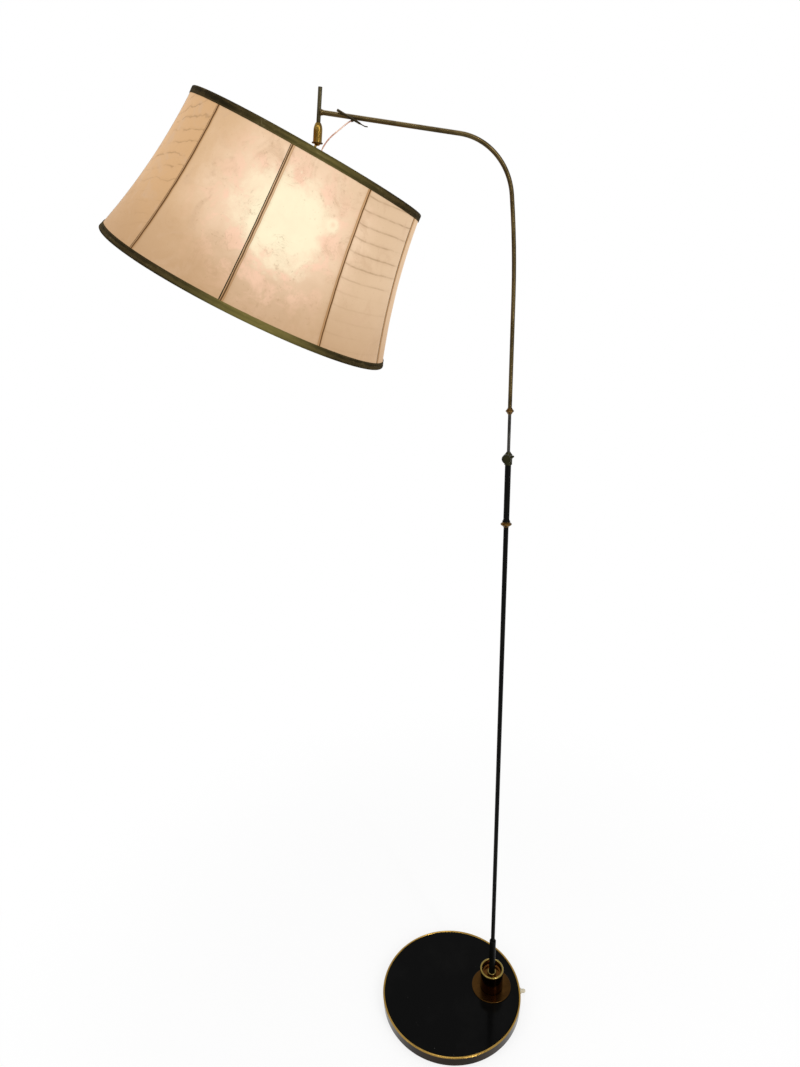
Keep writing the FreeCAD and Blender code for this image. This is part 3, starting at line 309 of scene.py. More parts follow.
def metal(name, bright, dull, smooth, rough, direction, lines=900.0, marks=0.00002, stain=26.0,
          bead=None):
    # metal with tool or drawing marks along one direction, tarnish in patches and fine scuffs;
    # bead is the height above which the top bead is lighter, rubbed brass with a painted highlight
    shade = Shade(name)
    where = shade.coordinates()
    x, y, z = shade.split(where)
    stretch = {"round": (8.0, 8.0, lines), "along": (lines, lines, 6.0)}[direction]
    fine = shade.noise(shade.join(x * stretch[0], y * stretch[1], z * stretch[2]), 1.0, 4, 0.6)
    patches = shade.noise(where, stain, 5, 0.62)
    spots = shade.noise(where, stain * 9, 3, 0.7)
    tarnish = (patches.ramp(0.38, 0.68) * 0.75 + spots.ramp(0.5, 0.75) * 0.35).clipped()
    colour = shade.mix(tarnish, bright, dull)
    # rubbed brass and a painted highlight: the top bead lighter than the rest
    if bead:
        level, rubbed = bead
        colour = shade.mix(z.ramp(level, level + 0.0008) * (1 - tarnish * 0.4), colour, rubbed)
    return shade.surface({
        "Base Color": colour,
        "Metallic": 1.0,
        "Roughness": smooth + tarnish * (rough - smooth) + (fine - 0.5) * 0.12,
        "Normal": shade.bump(fine * 0.7 + spots * 0.3, marks),
    })


def paint(name, colour, roughness, shine, dust=0.0, orange=90.0, scuff=0.0):
    # sprayed enamel: faint orange peel, a little dust and rubbed spots
    shade = Shade(name)
    where = shade.coordinates()
    peel = shade.noise(where, orange, 3, 0.5)
    haze = shade.noise(where, 14.0, 4, 0.6)
    specks = 1 - shade.cells(where, 150.0).ramp(0.04, 0.1)
    chosen = shade.noise(where, 60.0, 2, 0.5).ramp(0.62, 0.72)
    fleck = specks * chosen * dust
    rubbed = haze.ramp(0.45, 0.75) * scuff
    grey = linear(150, 148, 142)
    return shade.surface({
        "Base Color": shade.mix((fleck + rubbed * 0.06).clipped(), colour, grey),
        "Roughness": roughness + haze * 0.12 + fleck * 0.4,
        "Specular IOR Level": shine,
        "Normal": shade.bump(peel, 0.00003),
    })


# core and marks are places in the head's frame, each mark with its size and whether it is a ring;
# core is the middle of the painted pool of light from the bulb
parchment = {
    "core": (0.006, 0.173, -0.102),
    "marks": [((0.0600, -0.1583, -0.0805), 0.0062, True),
              ((0.0052, -0.1639, -0.0465), 0.0028, False),
              ((0.0461, -0.1601, -0.0648), 0.0016, False)],
    "veinStep": 0.016,
    "orange": linear(216, 173, 126),
    "beige": linear(223, 191, 156),
    "near": linear(245, 213, 181),
    "glowHeart": linear(254, 241, 206),
    "rosy": linear(254, 208, 180),
    "grey": linear(210, 175, 141),
    "low": linear(188, 151, 113),
    "stain": linear(132, 98, 60),
    "held": 0.82,
    "lit": 0.82,
}


def parchmentMaterial():
    # waxed parchment with the bulb's light painted in: blotches, hairs and specks, veins, a
    # painted pool of light round the bulb and painted shade low down and beside the seams
    shade = Shade("parchment")
    along, down = shade.strip()
    own = shade.attribute("own")
    veined = shade.attribute("veined")
    slant = shade.attribute("slant")
    waver = shade.attribute("waver")
    # edge: painted shade beside each seam, where the lap over the wire stops the light
    edge = shade.attribute("edge")
    apart = shade.join(along + own * 3.1, down + own * 1.7, own)
    cloud = shade.noise(apart, 15.0, 4, 0.55)
    blotch = shade.noise(apart, 44.0, 5, 0.62, 0.4)
    smudge = shade.noise(shade.join(along + 5.0, down, own), 31.0, 4, 0.6, 0.8)
    pits = shade.noise(apart, 190.0, 3, 0.7)
    specks = shade.cells(apart, 240.0)
    # veins: level lines of the height, slanted and wavy, each of its own length
    bend = shade.noise(apart, 34.0, 3, 0.55) - 0.5
    start = along * -55.0
    hump = start.apply("EXPONENT") * along * 0.22
    lane = (down + along * slant + bend * waver - hump) / parchment["veinStep"] + 0.56
    number = lane - lane.fraction()
    reach = shade.noise(shade.join(number * 5.3, own, 0.0), 1.0, 1).ramp(0.3, 0.62) * 0.1 + 0.02
    kept = 1 - ((along - reach) / 0.02).clipped() * (1 - waver * 60.0).clipped()
    gaps = shade.noise(shade.join(along, down * 3.0, own), 26.0, 2)
    thin = shade.noise(shade.join(along * 2.0, down * 2.0, own), 30.0, 3).ramp(0.3, 0.6)
    kept = kept * (1 - gaps.ramp(0.46, 0.58) * (waver * 55.0).clipped())
    offset = (lane.fraction() - 0.5).absolute()
    line = (1 - offset.ramp(0.02, 0.085)) * kept * (0.35 + thin * 0.65) * veined
    soft = (1 - offset.ramp(0.0, 0.28)) * kept * veined
    # the lit core, with a ragged edge
    # painted light: a pool of light where the bulb shines through, in front and mirrored behind
    spread = distanceTo(shade, parchment["core"], True)
    edged = spread + (cloud - 0.5) * 0.07 + (blotch - 0.5) * 0.06 + (pits - 0.5) * 0.012
    near = 1 - edged.ramp(0.045, 0.135)
    glowHeart = 1 - edged.ramp(0.030, 0.066)
    warm = shade.mix(shade.attribute("tint"), parchment["orange"], parchment["beige"])
    warm = shade.mix(near, warm, parchment["near"])
    # painted shade: darker towards the bottom of the shade, away from the bulb, outside the
    # painted pool's middle
    low = (down / head["height"] + (cloud - 0.5) * 0.3).ramp(0.42, 1.05) * 0.8
    warm = shade.mix(low * (1 - glowHeart), warm, parchment["low"])
    # painted light: rosy blotches only in the ring of the painted pool of light
    rosy = blotch.ramp(0.45, 0.62) * near * (1 - glowHeart) * 0.75
    warm = shade.mix(rosy, warm, parchment["rosy"])
    grey = smudge.ramp(0.5, 0.72) * (0.55 - glowHeart * 0.35)
    warm = shade.mix(grey, warm, parchment["grey"])
    warm = shade.mix(glowHeart * (0.55 + blotch * 0.7).clipped(), warm, parchment["glowHeart"])
    # pale spots and rings, painted in the colour of the painted pool's brightest middle
    for place, size, ringed in parchment["marks"]:
        apartBy = distanceTo(shade, place) + (pits - 0.5) * 0.003 + (blotch - 0.5) * 0.005
        pale = apartBy.bell(size * 0.8 if ringed else 0.0, size * 0.6)
        warm = shade.mix(pale * 0.75, warm, parchment["glowHeart"])
    # fine hair lines where one noise crosses its middle, kept to a few patches and stronger inside
    # the painted pool of light
    patches = cloud.ramp(0.5, 0.6) * (0.25 + near * 0.75)
    hairs = (1 - (smudge - 0.5).absolute().ramp(0.0, 0.02)) * blotch.ramp(0.4, 0.54) * patches
    scratch = shade.noise(shade.join(along * 0.6, down * 2.2, own), 150.0, 3, 0.6, 1.2)
    hairs = hairs + ((1 - (scratch - 0.5).absolute().ramp(0.0, 0.035)) * smudge.ramp(0.5, 0.62)
                     * cloud.ramp(0.44, 0.56) * (0.15 + near * 0.6))
    flecks = pits.ramp(0.56, 0.7) * smudge.ramp(0.47, 0.6) * (0.3 + near)
    # veins, hairs, flecks and specks darken the sheet, and edge adds painted shade beside the
    # seams
    dark = (line * 0.36 + soft * 0.08 + hairs * 0.22 + flecks * 0.22
            + (1 - specks.ramp(0.06, 0.2)) * pits.ramp(0.5, 0.6) * 0.18
            + edge * 0.16).clipped()
    lit = shade.mix(dark, warm, parchment["stain"])
    # painted light: the colour lit by the bulb is the emission, and the base colour a dimmed copy
    # of it
    return shade.surface({
        "Base Color": shade.mix(parchment["held"], lit, (0, 0, 0, 1)),
        "Roughness": 0.42 + blotch * 0.2,
        "Specular IOR Level": 0.08,
        "Emission Color": lit,
        "Emission Strength": parchment["lit"],
        "Normal": shade.bump(blotch * 0.5 + pits * 0.2 - soft * 0.6, 0.00035),
    })


seam = {
    "wireAt": 0.0029,
    "edgeAt": 0.0006,
    "tan": linear(196, 152, 106),
    "litTan": linear(232, 194, 154),
    "line": linear(150, 112, 74),
    "dark": linear(88, 58, 29),
    "litDark": linear(112, 84, 52),
}


def seamMaterial():
    # a glued lap over the upright wire: dark where the wire stops the light
    shade = Shade("seam_lap")
    along, across = shade.strip()
    where = shade.coordinates()
    glow = 1 - distanceTo(shade, parchment["core"], True).ramp(0.03, 0.13)
    down = along / head["height"]
    grain = shade.noise(where, 520.0, 3, 0.65)
    ragged = shade.noise(where, 160.0, 3, 0.6) - 0.5
    wobble = (shade.noise(shade.join(along, shade.attribute("own"), 0.0), 30.0, 2) - 0.5) * 0.0012
    # painted shadow of the upright wire: a dark line along the lap
    offset = (across + wobble + ragged * 0.0005 - seam["wireAt"]).absolute()
    wireShadow = 1 - offset.ramp(0.0005, 0.0013)
    # painted light: lighter inside the painted pool of light, and painted shade: darker towards
    # the bottom
    tan = shade.mix(glow, seam["tan"], seam["litTan"])
    tan = shade.mix(down.ramp(0.1, 0.9) * 0.35, tan, seam["line"])
    second = 1 - (across + ragged * 0.0006 - seam["edgeAt"]).absolute().ramp(0.0001, 0.0007)
    body = shade.mix((second * 0.4 + grain * 0.12).clipped(), tan, seam["line"])
    # the painted wire shadow's colour, lighter inside the painted pool of light
    core = shade.mix(glow * 0.6, seam["dark"], seam["litDark"])
    colour = shade.mix(wireShadow * (0.88 + grain * 0.2).clipped(), body, core)
    # painted light: the lap's lit colour is its emission, and the base colour a dimmed copy of it
    return shade.surface({
        "Base Color": shade.mix(parchment["held"], colour, (0, 0, 0, 1)),
        "Roughness": 0.5 + grain * 0.2,
        "Specular IOR Level": 0.08,
        "Emission Color": colour,
        "Emission Strength": parchment["lit"],
        "Normal": shade.bump(grain, 0.00008),
    })


trim = {
    "deep": linear(32, 26, 13),
    "nap": linear(62, 51, 29),
    "wearAndSheen": linear(98, 90, 62),
    "sheen": linear(120, 116, 70),
    "leaking": linear(96, 90, 46),
    "leak": (0.022, -0.185),
    "leakWidth": 0.066,
    "selvedge": 0.0010,
}


def velvetMaterial():
    # olive velvet ribbon with its pile, woven edges, lighter streaks of wear and painted sheen,
    # and light that leaks through near the bulb
    shade = Shade("velvet_ribbon")
    along, across = shade.strip()
    where = shade.coordinates()
    x, y, z = headParts(shade)
    crush = shade.noise(shade.join(along, across * 1.5, 0.0), 80.0, 5, 0.68, 0.8)
    streak = shade.noise(shade.join(along * 12.0, across * 260.0, 0.0), 1.0, 3, 0.6)
    pile = shade.noise(where, 1500.0, 3, 0.7)
    selvedge = (across - trim["selvedge"]).absolute()
    woven = 1 - selvedge.ramp(0.0005, 0.0010)
    spread = ((x - trim["leak"][0]) ** 2 + (y - trim["leak"][1]) ** 2).root()
    lowRim = 1 - z.ramp(-0.15, -0.05)
    leak = spread.bell(0.0, trim["leakWidth"]) * (0.1 + streak * 1.1 + lowRim * 0.5)
    colour = shade.mix((crush * 0.4 + streak * 0.6).ramp(0.38, 0.62), trim["deep"], trim["nap"])
    # lighter streaks of crushed pile: real wear and a painted sheen
    wearAndSheen = crush.ramp(0.56, 0.74) * streak.ramp(0.4, 0.6) * 0.7
    colour = shade.mix(wearAndSheen, colour, trim["wearAndSheen"])
    return shade.surface({
        "Base Color": shade.mix(woven * 0.4, colour, trim["nap"]),
        "Roughness": 0.85 + pile * 0.1,
        "Specular IOR Level": 0.04,
        "Sheen Weight": 0.03,
        "Sheen Roughness": 0.4,
        "Sheen Tint": trim["sheen"],
        "Emission Color": shade.mix((1 - leak).clipped(), trim["leaking"], (0, 0, 0, 1)),
        "Emission Strength": 1.0,
        "Normal": shade.bump(pile * 0.6 + streak * 0.6 + crush * 0.6, 0.00022),
    })


flex = {"clear": linear(228, 196, 178), "copper": linear(176, 112, 84), "radius": 0.001,
        "sides": 20, "twist": 380.0, "waist": 0.12}


def vinylMaterial():
    # clear vinyl flex with two copper strands showing through, twisted round each other; the
    # lead runs down and to the left, so x - z grows along it
    shade = Shade("clear_flex")
    where = shade.coordinates()
    x, y, z = shade.split(where)
    length = (x - z) * 0.7
    twist = ((length * 900.0) + y * 1800.0).sine()
    strand = twist.ramp(-0.2, 0.5)
    fine = shade.noise(where, 900.0, 2, 0.5)
    colour = shade.mix(strand, flex["clear"], flex["copper"])
    return shade.surface({
        "Base Color": shade.mix(fine * 0.4, colour, flex["clear"]),
        "Roughness": 0.22 + fine * 0.15,
        "Coat Weight": 0.6,
        "Coat Roughness": 0.12,
        "Normal": shade.bump(twist, 0.00025),
    })


def feltMaterial():
    # dark green felt with fine fibres and lumps
    shade = Shade("base_felt")
    where = shade.coordinates()
    fibre = shade.noise(where, 900.0, 5, 0.75, 1.5)
    lumps = shade.noise(where, 90.0, 3, 0.6)
    return shade.surface({
        "Base Color": shade.mix(lumps * 0.6 + fibre * 0.4, linear(38, 48, 36), linear(70, 78, 60)),
        "Roughness": 0.95,
        "Sheen Weight": 0.3,
        "Normal": shade.bump(fibre, 0.0004),
    })


def ironMaterial():
    # bare cast iron with sandy grain and rust in patches
    shade = Shade("cast_iron")
    where = shade.coordinates()
    sand = shade.noise(where, 420.0, 5, 0.7)
    rust = shade.noise(where, 34.0, 4, 0.6).ramp(0.52, 0.7)
    return shade.surface({
        "Base Color": shade.mix(rust * 0.6, linear(58, 58, 60), linear(96, 66, 46)),
        "Metallic": 0.6 - rust * 0.5,
        "Roughness": 0.62 + sand * 0.25,
        "Normal": shade.bump(sand, 0.0005),
    })


def porcelainMaterial():
    # off-white glaze with brown specks
    shade = Shade("porcelain")
    where = shade.coordinates()
    glaze = shade.noise(where, 60.0, 3, 0.5)
    specks = (1 - shade.cells(where, 300.0).ramp(0.05, 0.12)) * 0.35
    return shade.surface({
        "Base Color": shade.mix(specks, linear(226, 222, 208), linear(150, 132, 104)),
        "Roughness": 0.18 + glaze * 0.12,
        "Coat Weight": 0.4,
        "Normal": shade.bump(glaze, 0.0001),
    })


def bakeliteMaterial():
    # dark brown moulding with a faint swirl
    shade = Shade("brown_bakelite")
    where = shade.coordinates()
    swirl = shade.noise(where, 70.0, 4, 0.6, 1.2)
    return shade.surface({
        "Base Color": shade.mix(swirl, linear(24, 17, 13), linear(52, 34, 24)),
        "Roughness": 0.28 + swirl * 0.15,
        "Normal": shade.bump(swirl, 0.00005),
    })


bulb = {"lit": 3.0}


def bulbMaterial():
    # frosted glass lit from inside, a little darker towards the neck
    shade = Shade("lit_bulb")
    z = headParts(shade)[2]
    frost = shade.noise(shade.coordinates(), 500.0, 3, 0.6)
    neck = (z + 0.112).ramp(0.015, 0.045)
    return shade.surface({
        "Base Color": shade.mix(frost * 0.2, linear(250, 244, 230), linear(225, 215, 195)),
        "Roughness": 0.35 + frost * 0.1,
        "Emission Color": shade.mix(neck, linear(255, 240, 212), linear(232, 190, 138)),
        "Emission Strength": bulb["lit"],
        "Normal": shade.bump(frost, 0.00005),
    })


def bushMaterial():
    # pale, slightly clear plastic
    shade = Shade("pale_bush")
    where = shade.coordinates()
    haze = shade.noise(where, 200.0, 3, 0.6)
    return shade.surface({
        "Base Color": shade.mix(haze, linear(214, 206, 184), linear(178, 168, 142)),
        "Roughness": 0.4 + haze * 0.2,
        "Subsurface Weight": 0.3,
        "Subsurface Radius": (0.004, 0.003, 0.002),
        "Normal": shade.bump(haze, 0.0001),
    })



materials = {
    "parchment": parchmentMaterial(),
    "seam": seamMaterial(),
    "velvet": velvetMaterial(),
    "flex": vinylMaterial(),
    "felt": feltMaterial(),
    "iron": ironMaterial(),
    "porcelain": porcelainMaterial(),
    "bakelite": bakeliteMaterial(),
    "bulb": bulbMaterial(),
    "bush": bushMaterial(),
    "band": metal("band_brass", linear(38, 26, 12), linear(20, 13, 6), 0.12, 0.28, "round",
                  bead=(0.0208, linear(158, 126, 62))),
    "cup": metal("cup_brass", linear(80, 50, 20), linear(38, 22, 9), 0.1, 0.26, "round",
                 bead=(0.0712, linear(132, 114, 58))),
    "nut": metal("nut_brass", linear(126, 108, 60), linear(66, 52, 26), 0.14, 0.34, "round"),
    "flange": metal("flange_brass", linear(66, 44, 18), linear(44, 28, 10), 0.16, 0.34, "along",
                    300.0),
    "bead": metal("bead_brass", linear(104, 78, 38), linear(56, 38, 16), 0.12, 0.34, "round"),
    "arm": metal("arm_brass", linear(84, 71, 44), linear(44, 35, 19), 0.14, 0.36, "along", 700.0),
    "joint": metal("joint_brass", linear(150, 121, 56), linear(86, 64, 25), 0.11, 0.26, "round"),
    "lip": metal("lip_brass", linear(84, 64, 30), linear(46, 33, 14), 0.14, 0.34, "round"),
    "patina": metal("dark_brass", linear(46, 45, 29), linear(23, 22, 13), 0.36, 0.6, "round"),
    "hook": metal("hook_brass", linear(58, 50, 33), linear(30, 25, 15), 0.26, 0.5, "along"),
    "handle": metal("handle_brass", linear(74, 68, 48), linear(38, 34, 22), 0.24, 0.48, "along"),
    "steel": metal("drawn_steel", linear(62, 61, 58), linear(30, 29, 27), 0.2, 0.42, "along"),
    "zinc": metal("zinc_steel", linear(168, 166, 158), linear(110, 106, 98), 0.32, 0.55, "round"),
    "disc": paint("black_gloss", linear(5, 5, 5), 0.07, 0.04, dust=0.5, scuff=0.08),
    "enamel": paint("black_enamel", linear(6, 6, 5), 0.34, 0.04, orange=260.0, scuff=0.1),
}
nodeMaterials = {
    "rim_band": "band", "top_disc": "disc", "base_weight": "iron", "base_felt": "felt",
    "stud_washer": "zinc", "stud_nut": "zinc", "base_stud": "zinc", "cord_gland": "bush",
    "flange_disc": "flange", "pole_cup": "cup", "ring_nut": "nut", "foot_sleeve": "enamel",
    "lower_pole": "enamel", "lower_bead": "bead", "upper_sleeve": "enamel",
    "clamp_collar": "patina", "clamp_knob": "patina", "clamp_screw": "zinc",
    "clamp_bush": "bead", "sliding_rod": "steel", "rod_foot": "bead", "upper_bead": "bead",
    "arm_tube": "arm", "arm_collar": "arm", "lead_spout": "arm", "cord_hook": "hook",
    "handle_tube": "handle", "handle_plug": "bakelite", "ball_housing": "joint",
    "housing_lip": "lip", "pressure_cup": "bead", "spring_washer": "zinc",
    "friction_pad": "bead", "ball_stem": "joint", "holder_cap": "joint",
    "holder_skirt": "joint", "porcelain_core": "porcelain", "screw_shell": "bead",
    "centre_contact": "bead", "upper_shade_ring": "bakelite", "lower_shade_ring": "bakelite",
    "bulb_cap": "zinc", "bulb_glass": "bulb", "shade_carrier": "zinc", "top_ring": "zinc",
    "bottom_ring": "zinc", "shade_ribs": "patina",
}


def dress(piece, material):
    piece.data.materials.clear()
    piece.data.materials.append(materials[material])


for node, material in nodeMaterials.items():
    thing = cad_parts[node]
    for slot in thing.material_slots:
        slot.link = "OBJECT"
        slot.material = materials[material]
print("materials made")


# skins: how veined each panel is, the veins' slant and waver, and its tint from orange to beige
panel = {
    "across": 72, "down": 96, "edgeAngle": 0.55, "edgeWidth": 0.0022, "trimmed": 0.0041,
    "ripple": 0.00022, "thinning": ([0.0, 0.45, 0.62, 1.0], [1.0, 1.0, 0.3, 0.15]),
    "skins": [(0.0, 0.1, 0.01, 0.45), (0.0, 0.1, 0.01, 0.85), (1.0, 0.07, 0.003, 1.0),
              (0.25, -0.1, 0.01, 0.7), (0.8, 0.2, 0.006, 0.3), (0.1, 0.1, 0.01, 0.8),
              (0.6, -0.25, 0.018, 0.5), (0.15, 0.1, 0.01, 0.9), (1.0, 0.34, 0.024, 0.0)],
}


def makePanel(number):
    # radius = wallRadius(share) + ripple between two seams' angles; the section goes down the
    # outside and comes back up one wall's thickness farther in
    start = head["seams"][number]
    finish = head["seams"][number + 1] if number + 1 < head["panels"] else start + restWidth
    angles = np.radians(np.linspace(start + panel["edgeAngle"], finish - panel["edgeAngle"],
                                    panel["across"]))
    share = panel["trimmed"] / head["height"]
    down = np.linspace(share, 1 - share, panel["down"])
    outer = np.stack([wallRadius(down), wallHeight(down)], axis=-1)
    inner = outer[::-1] - np.array([head["wall"], 0.0])
    outline = np.concatenate([outer, inner])
    heights = np.concatenate([down, down[::-1]])
    spread = (angles - angles[0]) / (angles[-1] - angles[0])
    # the sheet lies close to the frame at its edges and ripples slightly between them
    slow = waves(40 + number, 5, 4.0, 16.0)
    held = 4 * spread * (1 - spread)
    ripple = (slow(heights[None, :] * 2.2 + spread[:, None]) * held[:, None]
              * np.sin(math.pi * heights[None, :]) * panel["ripple"])
    radius = outline[None, :, 0] + ripple
    rings = np.stack([radius * np.cos(angles)[:, None], radius * np.sin(angles)[:, None],
                      np.broadcast_to(outline[None, :, 1], radius.shape)], axis=-1)
    middle = wallRadius(0.5)
    along = (angles - angles[0]) * middle
    across = np.concatenate([heights, heights[:1]]) * head["height"]
    toSide = np.minimum(spread, 1 - spread) * (angles[-1] - angles[0]) * middle
    # painted shade near the panel's side edges, beside the seams
    nearEdge = np.exp(-(toSide / panel["edgeWidth"]) ** 2)[:, None] * np.ones_like(radius)
    veined, slant, waver, tint = panel["skins"][number]
    # the veins thin out towards the bottom of the panel
    veined = veined * np.interp(heights, *panel["thinning"])[None, :]
    piece = sweepMesh(f"parchment_{number + 1}", placeInHead(rings), across=across, along=along,
                      attributes={"own": number * 0.37 + 0.2, "veined": veined, "slant": slant,
                                  "waver": waver, "tint": tint, "edge": nearEdge})
    dress(piece, "parchment")
    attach(piece, "head")
    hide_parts(f"parchment_panel_{number + 1}")


for number in range(head["panels"]):
    makePanel(number)
print("panels made")


lap = {"width": 0.0046, "thick": 0.00035, "lift": 0.00004, "crown": 0.00042, "steps": 90,
       "points": 15, "waver": 0.00025, "from": 0.0046, "side": [1, -1, 1, 1, -1, 1, 1, -1, 1]}


def makeLap(number):
    # radius = wallRadius(share) + lift + crown cos^2(pi t), t from -0.5 to 0.5 across the lap,
    # with its thickness on top
    angle = math.radians(head["seams"][number])
    share = lap["from"] / head["height"]
    down = np.linspace(share, 1 - share, lap["steps"])
    # across the lap over the wire, then back underneath at the same arch
    sides = np.linspace(-0.5, 0.5, lap["points"])
    over = lap["lift"] + lap["thick"] + lap["crown"] * np.cos(sides * math.pi) ** 2
    under = lap["lift"] + lap["crown"] * np.cos(sides * math.pi) ** 2
    offset = np.concatenate([sides, sides[::-1]]) * lap["width"]
    rise = np.concatenate([over, under[::-1]])
    uneven = waves(70 + number, 4, 6.0, 30.0)
    radius = wallRadius(down)[:, None] + rise[None, :]
    shift = uneven(down * 3.0)[:, None] * lap["waver"]
    turn = angle + (offset[None, :] + shift) / radius
    rings = np.stack([radius * np.cos(turn), radius * np.sin(turn),
                      np.broadcast_to(wallHeight(down)[:, None], radius.shape)], axis=-1)
    across = np.concatenate([offset, offset[:1]]) * lap["side"][number] + lap["width"] / 2
    piece = sweepMesh(f"seam_lap_{number + 1}", placeInHead(rings), across=across,
                      along=down * head["height"], attributes={"own": number * 0.41})
    dress(piece, "seam")
    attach(piece, "head")


for number in range(head["panels"]):
    makeLap(number)
print("laps made")


ribbon = {"around": 720, "outside": 0.0094, "inside": 0.0084, "thick": 0.0006, "gap": 0.0004,
          "ring": 0.0022, "inner": 0.0023, "bulge": 0.00035, "sunk": 0.00015, "waver": 0.0004,
          "roof": 0.0016}


def makeTrim(name, node, edge, sign, seed):
    # a section of half a turn over the ring wire and two legs that follow the wall, easing
    # from the roof's end by t^2 (3 - 2 t), carried once round the head's axis; sign is -1 at
    # the top edge and 1 at the bottom one
    ringShare = edge - sign * ribbon["ring"] / head["height"]
    middle = wallRadius(ringShare) - head["wireDepth"]
    level = wallHeight(edge) + sign * ribbon["ring"]
    outDepth = np.linspace(ribbon["ring"], ribbon["outside"], 16)
    inDepth = np.linspace(ribbon["ring"], ribbon["inside"], 12)
    arch = np.linspace(0, math.pi, 17)

    def leg(depth, gap, side):
        share = edge - sign * depth / head["height"]
        t = (depth - ribbon["ring"]) / (depth[-1] - ribbon["ring"])
        ease = t * t * (3 - 2 * t)
        atRing = middle + side * (gap + ribbon["roof"])
        off = ribbon["gap"] + gap if side > 0 else -ribbon["inner"] - gap
        radius = wallRadius(share) + off + (atRing - wallRadius(ringShare) - off) * (1 - ease)
        return np.stack([radius, wallHeight(share)], axis=-1)

    def roof(gap):
        size = ribbon["roof"] + gap
        return np.stack([middle + size * np.cos(arch), level - sign * size * np.sin(arch)],
                        axis=-1)[1:-1]

    thick = ribbon["thick"]
    outer = np.concatenate([leg(outDepth, thick, 1)[::-1], roof(thick), leg(inDepth, thick, -1)])
    inner = np.concatenate([leg(outDepth, 0.0, 1)[::-1], roof(0.0), leg(inDepth, 0.0, -1)])
    outline = np.concatenate([outer, inner[::-1]])
    angles = np.linspace(0, 2 * math.pi, ribbon["around"], endpoint=False)
    # whole turns only, so that the ends of the ribbon meet
    slow = sum(np.sin(k * angles + seed * k) for k in (3, 5, 8, 13, 21)) / 5
    fine = sum(np.sin(k * angles + 2.0 * seed * k) for k in (34, 47, 71, 96)) / 4
    at = np.arange(len(outline))
    legEnd = np.exp(-(at / 4.0) ** 2)
    outside = at < len(outDepth)
    radial = (slow * 0.25 + fine * 0.3)[:, None] * ribbon["bulge"] * 0.5 * outside[None, :]
    waver = (slow * 0.6 + fine * 0.5)[:, None] * ribbon["waver"] * legEnd[None, :]
    radius = outline[None, :, 0] + np.maximum(radial, -ribbon["sunk"])
    height = outline[None, :, 1] + waver * sign
    rings = np.stack([radius * np.cos(angles)[:, None], radius * np.sin(angles)[:, None],
                      height], axis=-1)
    steps = np.linalg.norm(np.diff(outline, axis=0, append=outline[:1]), axis=1)
    across = np.concatenate([[0.0], np.cumsum(steps)])
    along = np.append(angles, 2 * math.pi) * middle
    piece = sweepMesh(name, placeInHead(rings), closed=True, across=across, along=along)
    dress(piece, "velvet")
    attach(piece, "head")
    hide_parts(node)
    # cut as a straight strip: half the outline's length wide, one turn long
    float(2 * math.pi * middle)


makeTrim("top_velvet", "top_trim", 0.0, -1, 3)
makeTrim("bottom_velvet", "bottom_trim", 1.0, 1, 4)
print("trims made")


leadSplit = (-0.1573, 1.6409)
leadPoints = {
    "lamp_lead_upper": [(-0.1308, 1.6569), (-0.1369, 1.6547), (-0.1424, 1.6514),
                        (-0.1482, 1.6472), (-0.1542, 1.6430), leadSplit],
    "lamp_lead_lower": [leadSplit, (-0.1604, 1.6388), (-0.1656, 1.6343), (-0.1700, 1.6296),
                        (-0.1739, 1.6241), (-0.1771, 1.6177), (-0.1799, 1.6127)],
}


def smoothLine(points):
    # the route as a smooth spline through its control points, read back as plain points
    curve = bpy.data.curves.new("route", "CURVE")
    curve.dimensions = "3D"
    curve.resolution_u = 12
    line = curve.splines.new("NURBS")
    line.points.add(len(points) - 1)
    for point, (x, z) in zip(line.points, points):
        point.co = (x, 0.0, z, 1.0)
    line.order_u = 3
    line.use_endpoint_u = True
    guide = bpy.data.objects.new("route", curve)
    mesh = bpy.data.meshes.new_from_object(guide)
    found = np.array([v.co[:] for v in mesh.vertices])
    bpy.data.objects.remove(guide)
    bpy.data.meshes.remove(mesh)
    bpy.data.curves.remove(curve)
    return found


def makeLead(node):
    # a tube along the route, its radius r (1 - waist sin^2(angle + twist run))
    line = smoothLine(leadPoints[node])
    ahead = np.gradient(line, axis=0)
    ahead /= np.linalg.norm(ahead, axis=1)[:, None]
    side = np.array([0.0, 1.0, 0.0])
    other = np.cross(ahead, side)
    turn = np.linspace(0, 2 * math.pi, flex["sides"], endpoint=False)
    # two strands side by side under one skin, twisting about each other
    run = np.concatenate([[0], np.cumsum(np.linalg.norm(np.diff(line, axis=0), axis=1))])
    twisted = turn[None, :] + run[:, None] * flex["twist"]
    radius = flex["radius"] * (1 - flex["waist"] * np.sin(twisted) ** 2)
    rings = (line[:, None, :] + radius[..., None] * (np.cos(turn)[None, :, None] * side
             + np.sin(turn)[None, :, None] * other[:, None, :]))
    piece = sweepMesh(node + "_flex", rings, across=np.append(turn, 2 * math.pi), along=run)
    dress(piece, "flex")
    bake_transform(piece)
    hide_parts(node)
    2 * flex["radius"]


makeLead("lamp_lead_upper")
makeLead("lamp_lead_lower")
print("lead made")


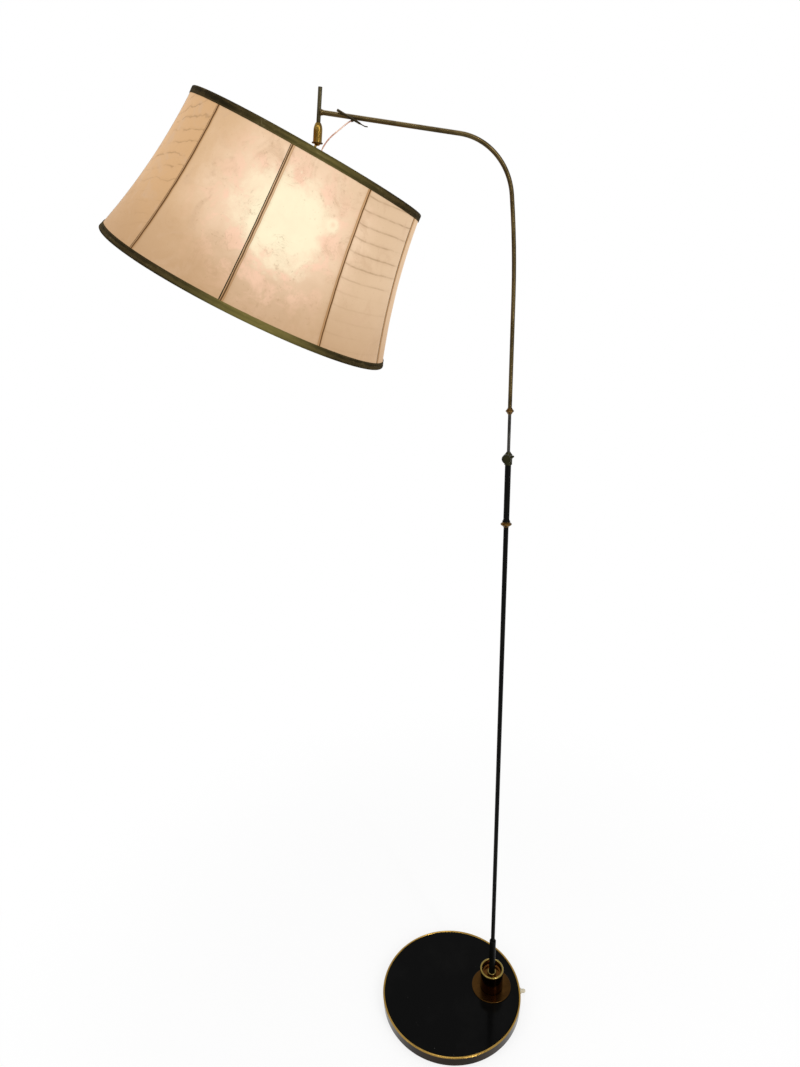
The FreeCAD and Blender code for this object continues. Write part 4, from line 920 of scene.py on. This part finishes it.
stage = {
    "reach": 30.0, "world": 0.64, "shadowed": 0.25, "shadowFrom": 0.25, "shadowTo": 1.1,
    # each lamp's place, what it points at, its power in watts, its width and its height
    "lamps": {
        "key": ((1.6, -2.4, 2.6), (0, 0, 0.9), 15.0, 1.2, 1.2),
        "fill": ((-2.6, -1.6, 1.8), (0, 0, 1.0), 10.0, 1.6, 1.6),
        "top": ((0.2, 0.6, 3.4), (0, 0, 0.8), 15.0, 1.4, 1.4),
        "streak": ((0.75, -1.5, 1.0), (0.09, 0, 0.9), 7.0, 0.07, 1.9),
        "spot": ((0.95, -1.69, 2.47), (0.09, 0, 0.1), 3.5, 0.22, 0.22),
        "strip": ((-0.1, -1.6, 2.9), (0, 0, 1.5), 10.0, 2.4, 0.14),
    },
}


def floorMaterial():
    # near the base a pale floor that keeps the shadow, and farther out plain white for
    # whatever looks at it straight or in a mirror
    shade = Shade("pale_floor")
    x, y, _ = shade.split(shade.coordinates())
    away = (x * x + y * y).root().ramp(stage["shadowFrom"], stage["shadowTo"])
    plain = shade.node("ShaderNodeBsdfDiffuse", None, {"Color": linear(246, 246, 246)})
    white = shade.node("ShaderNodeEmission", None, {"Color": (1, 1, 1, 1), "Strength": 1.0})
    share = shade.seenStraight() * (1 - (1 - away) * stage["shadowed"])
    return shade.finish(shade.mixShader(share, plain, white))


def studioWorld():
    # plain white where it is seen, and a dimmer light on the object
    shade = Shade("studio", "World")
    light, white = [shade.node("ShaderNodeBackground", None, {"Strength": strength,
                                                              "Color": (1, 1, 1, 1)})
                    for strength in (stage["world"], 1.0)]
    return shade.finish(shade.mixShader(shade.seenStraight(), light, white))


floorMesh = bpy.data.meshes.new("floor")
size = stage["reach"]
floorMesh.from_pydata([(-size, -size, 0), (size, -size, 0), (size, size, 0), (-size, size, 0)],
                      [], [(0, 1, 2, 3)])
floor = bpy.data.objects.new("floor", floorMesh)
bpy.context.scene.collection.objects.link(floor)
floor.data.materials.append(floorMaterial())

bpy.context.scene.world = studioWorld()


def areaLamp(name, place, target, power, width, height):
    lamp = bpy.data.lights.new(name, "AREA")
    lamp.energy = power
    lamp.shape = "RECTANGLE"
    lamp.size = width
    lamp.size_y = height
    thing = bpy.data.objects.new(name, lamp)
    bpy.context.scene.collection.objects.link(thing)
    thing.visible_camera = False  # other views may look past it
    thing.location = place
    thing.rotation_euler = (Vector(target) - Vector(place)).to_track_quat("-Z", "Y").to_euler()


for name, values in stage["lamps"].items():
    areaLamp(name, *values)

# heading, pitch and roll in degrees from level and straight along Y, and the lens in mm
view = {"place": (-0.1710, -1.1253, 1.5430), "heading": 4.36, "pitch": -22.55, "roll": -1.43,
        "lens": 25.98}
heading, pitch, roll = (math.radians(view[k]) for k in ("heading", "pitch", "roll"))
ahead = Vector((math.sin(heading) * math.cos(pitch), math.cos(heading) * math.cos(pitch),
                math.sin(pitch)))
right = Vector((math.cos(heading), -math.sin(heading), 0))
up = right.cross(ahead)
rolled = right * math.cos(roll) + up * math.sin(roll)
up = rolled.cross(ahead)
lens = bpy.data.cameras.new("camera")
lens.lens = view["lens"]
lens.sensor_width = 36.0
lens.clip_start = 0.01
camera = bpy.data.objects.new("camera", lens)
bpy.context.scene.collection.objects.link(camera)
camera.matrix_world = (Matrix.Translation(view["place"])
                       @ Matrix((rolled, up, -ahead)).transposed().to_4x4())
bpy.context.scene.camera = camera
bpy.context.scene.view_settings.view_transform = "Standard"
print("stage made")
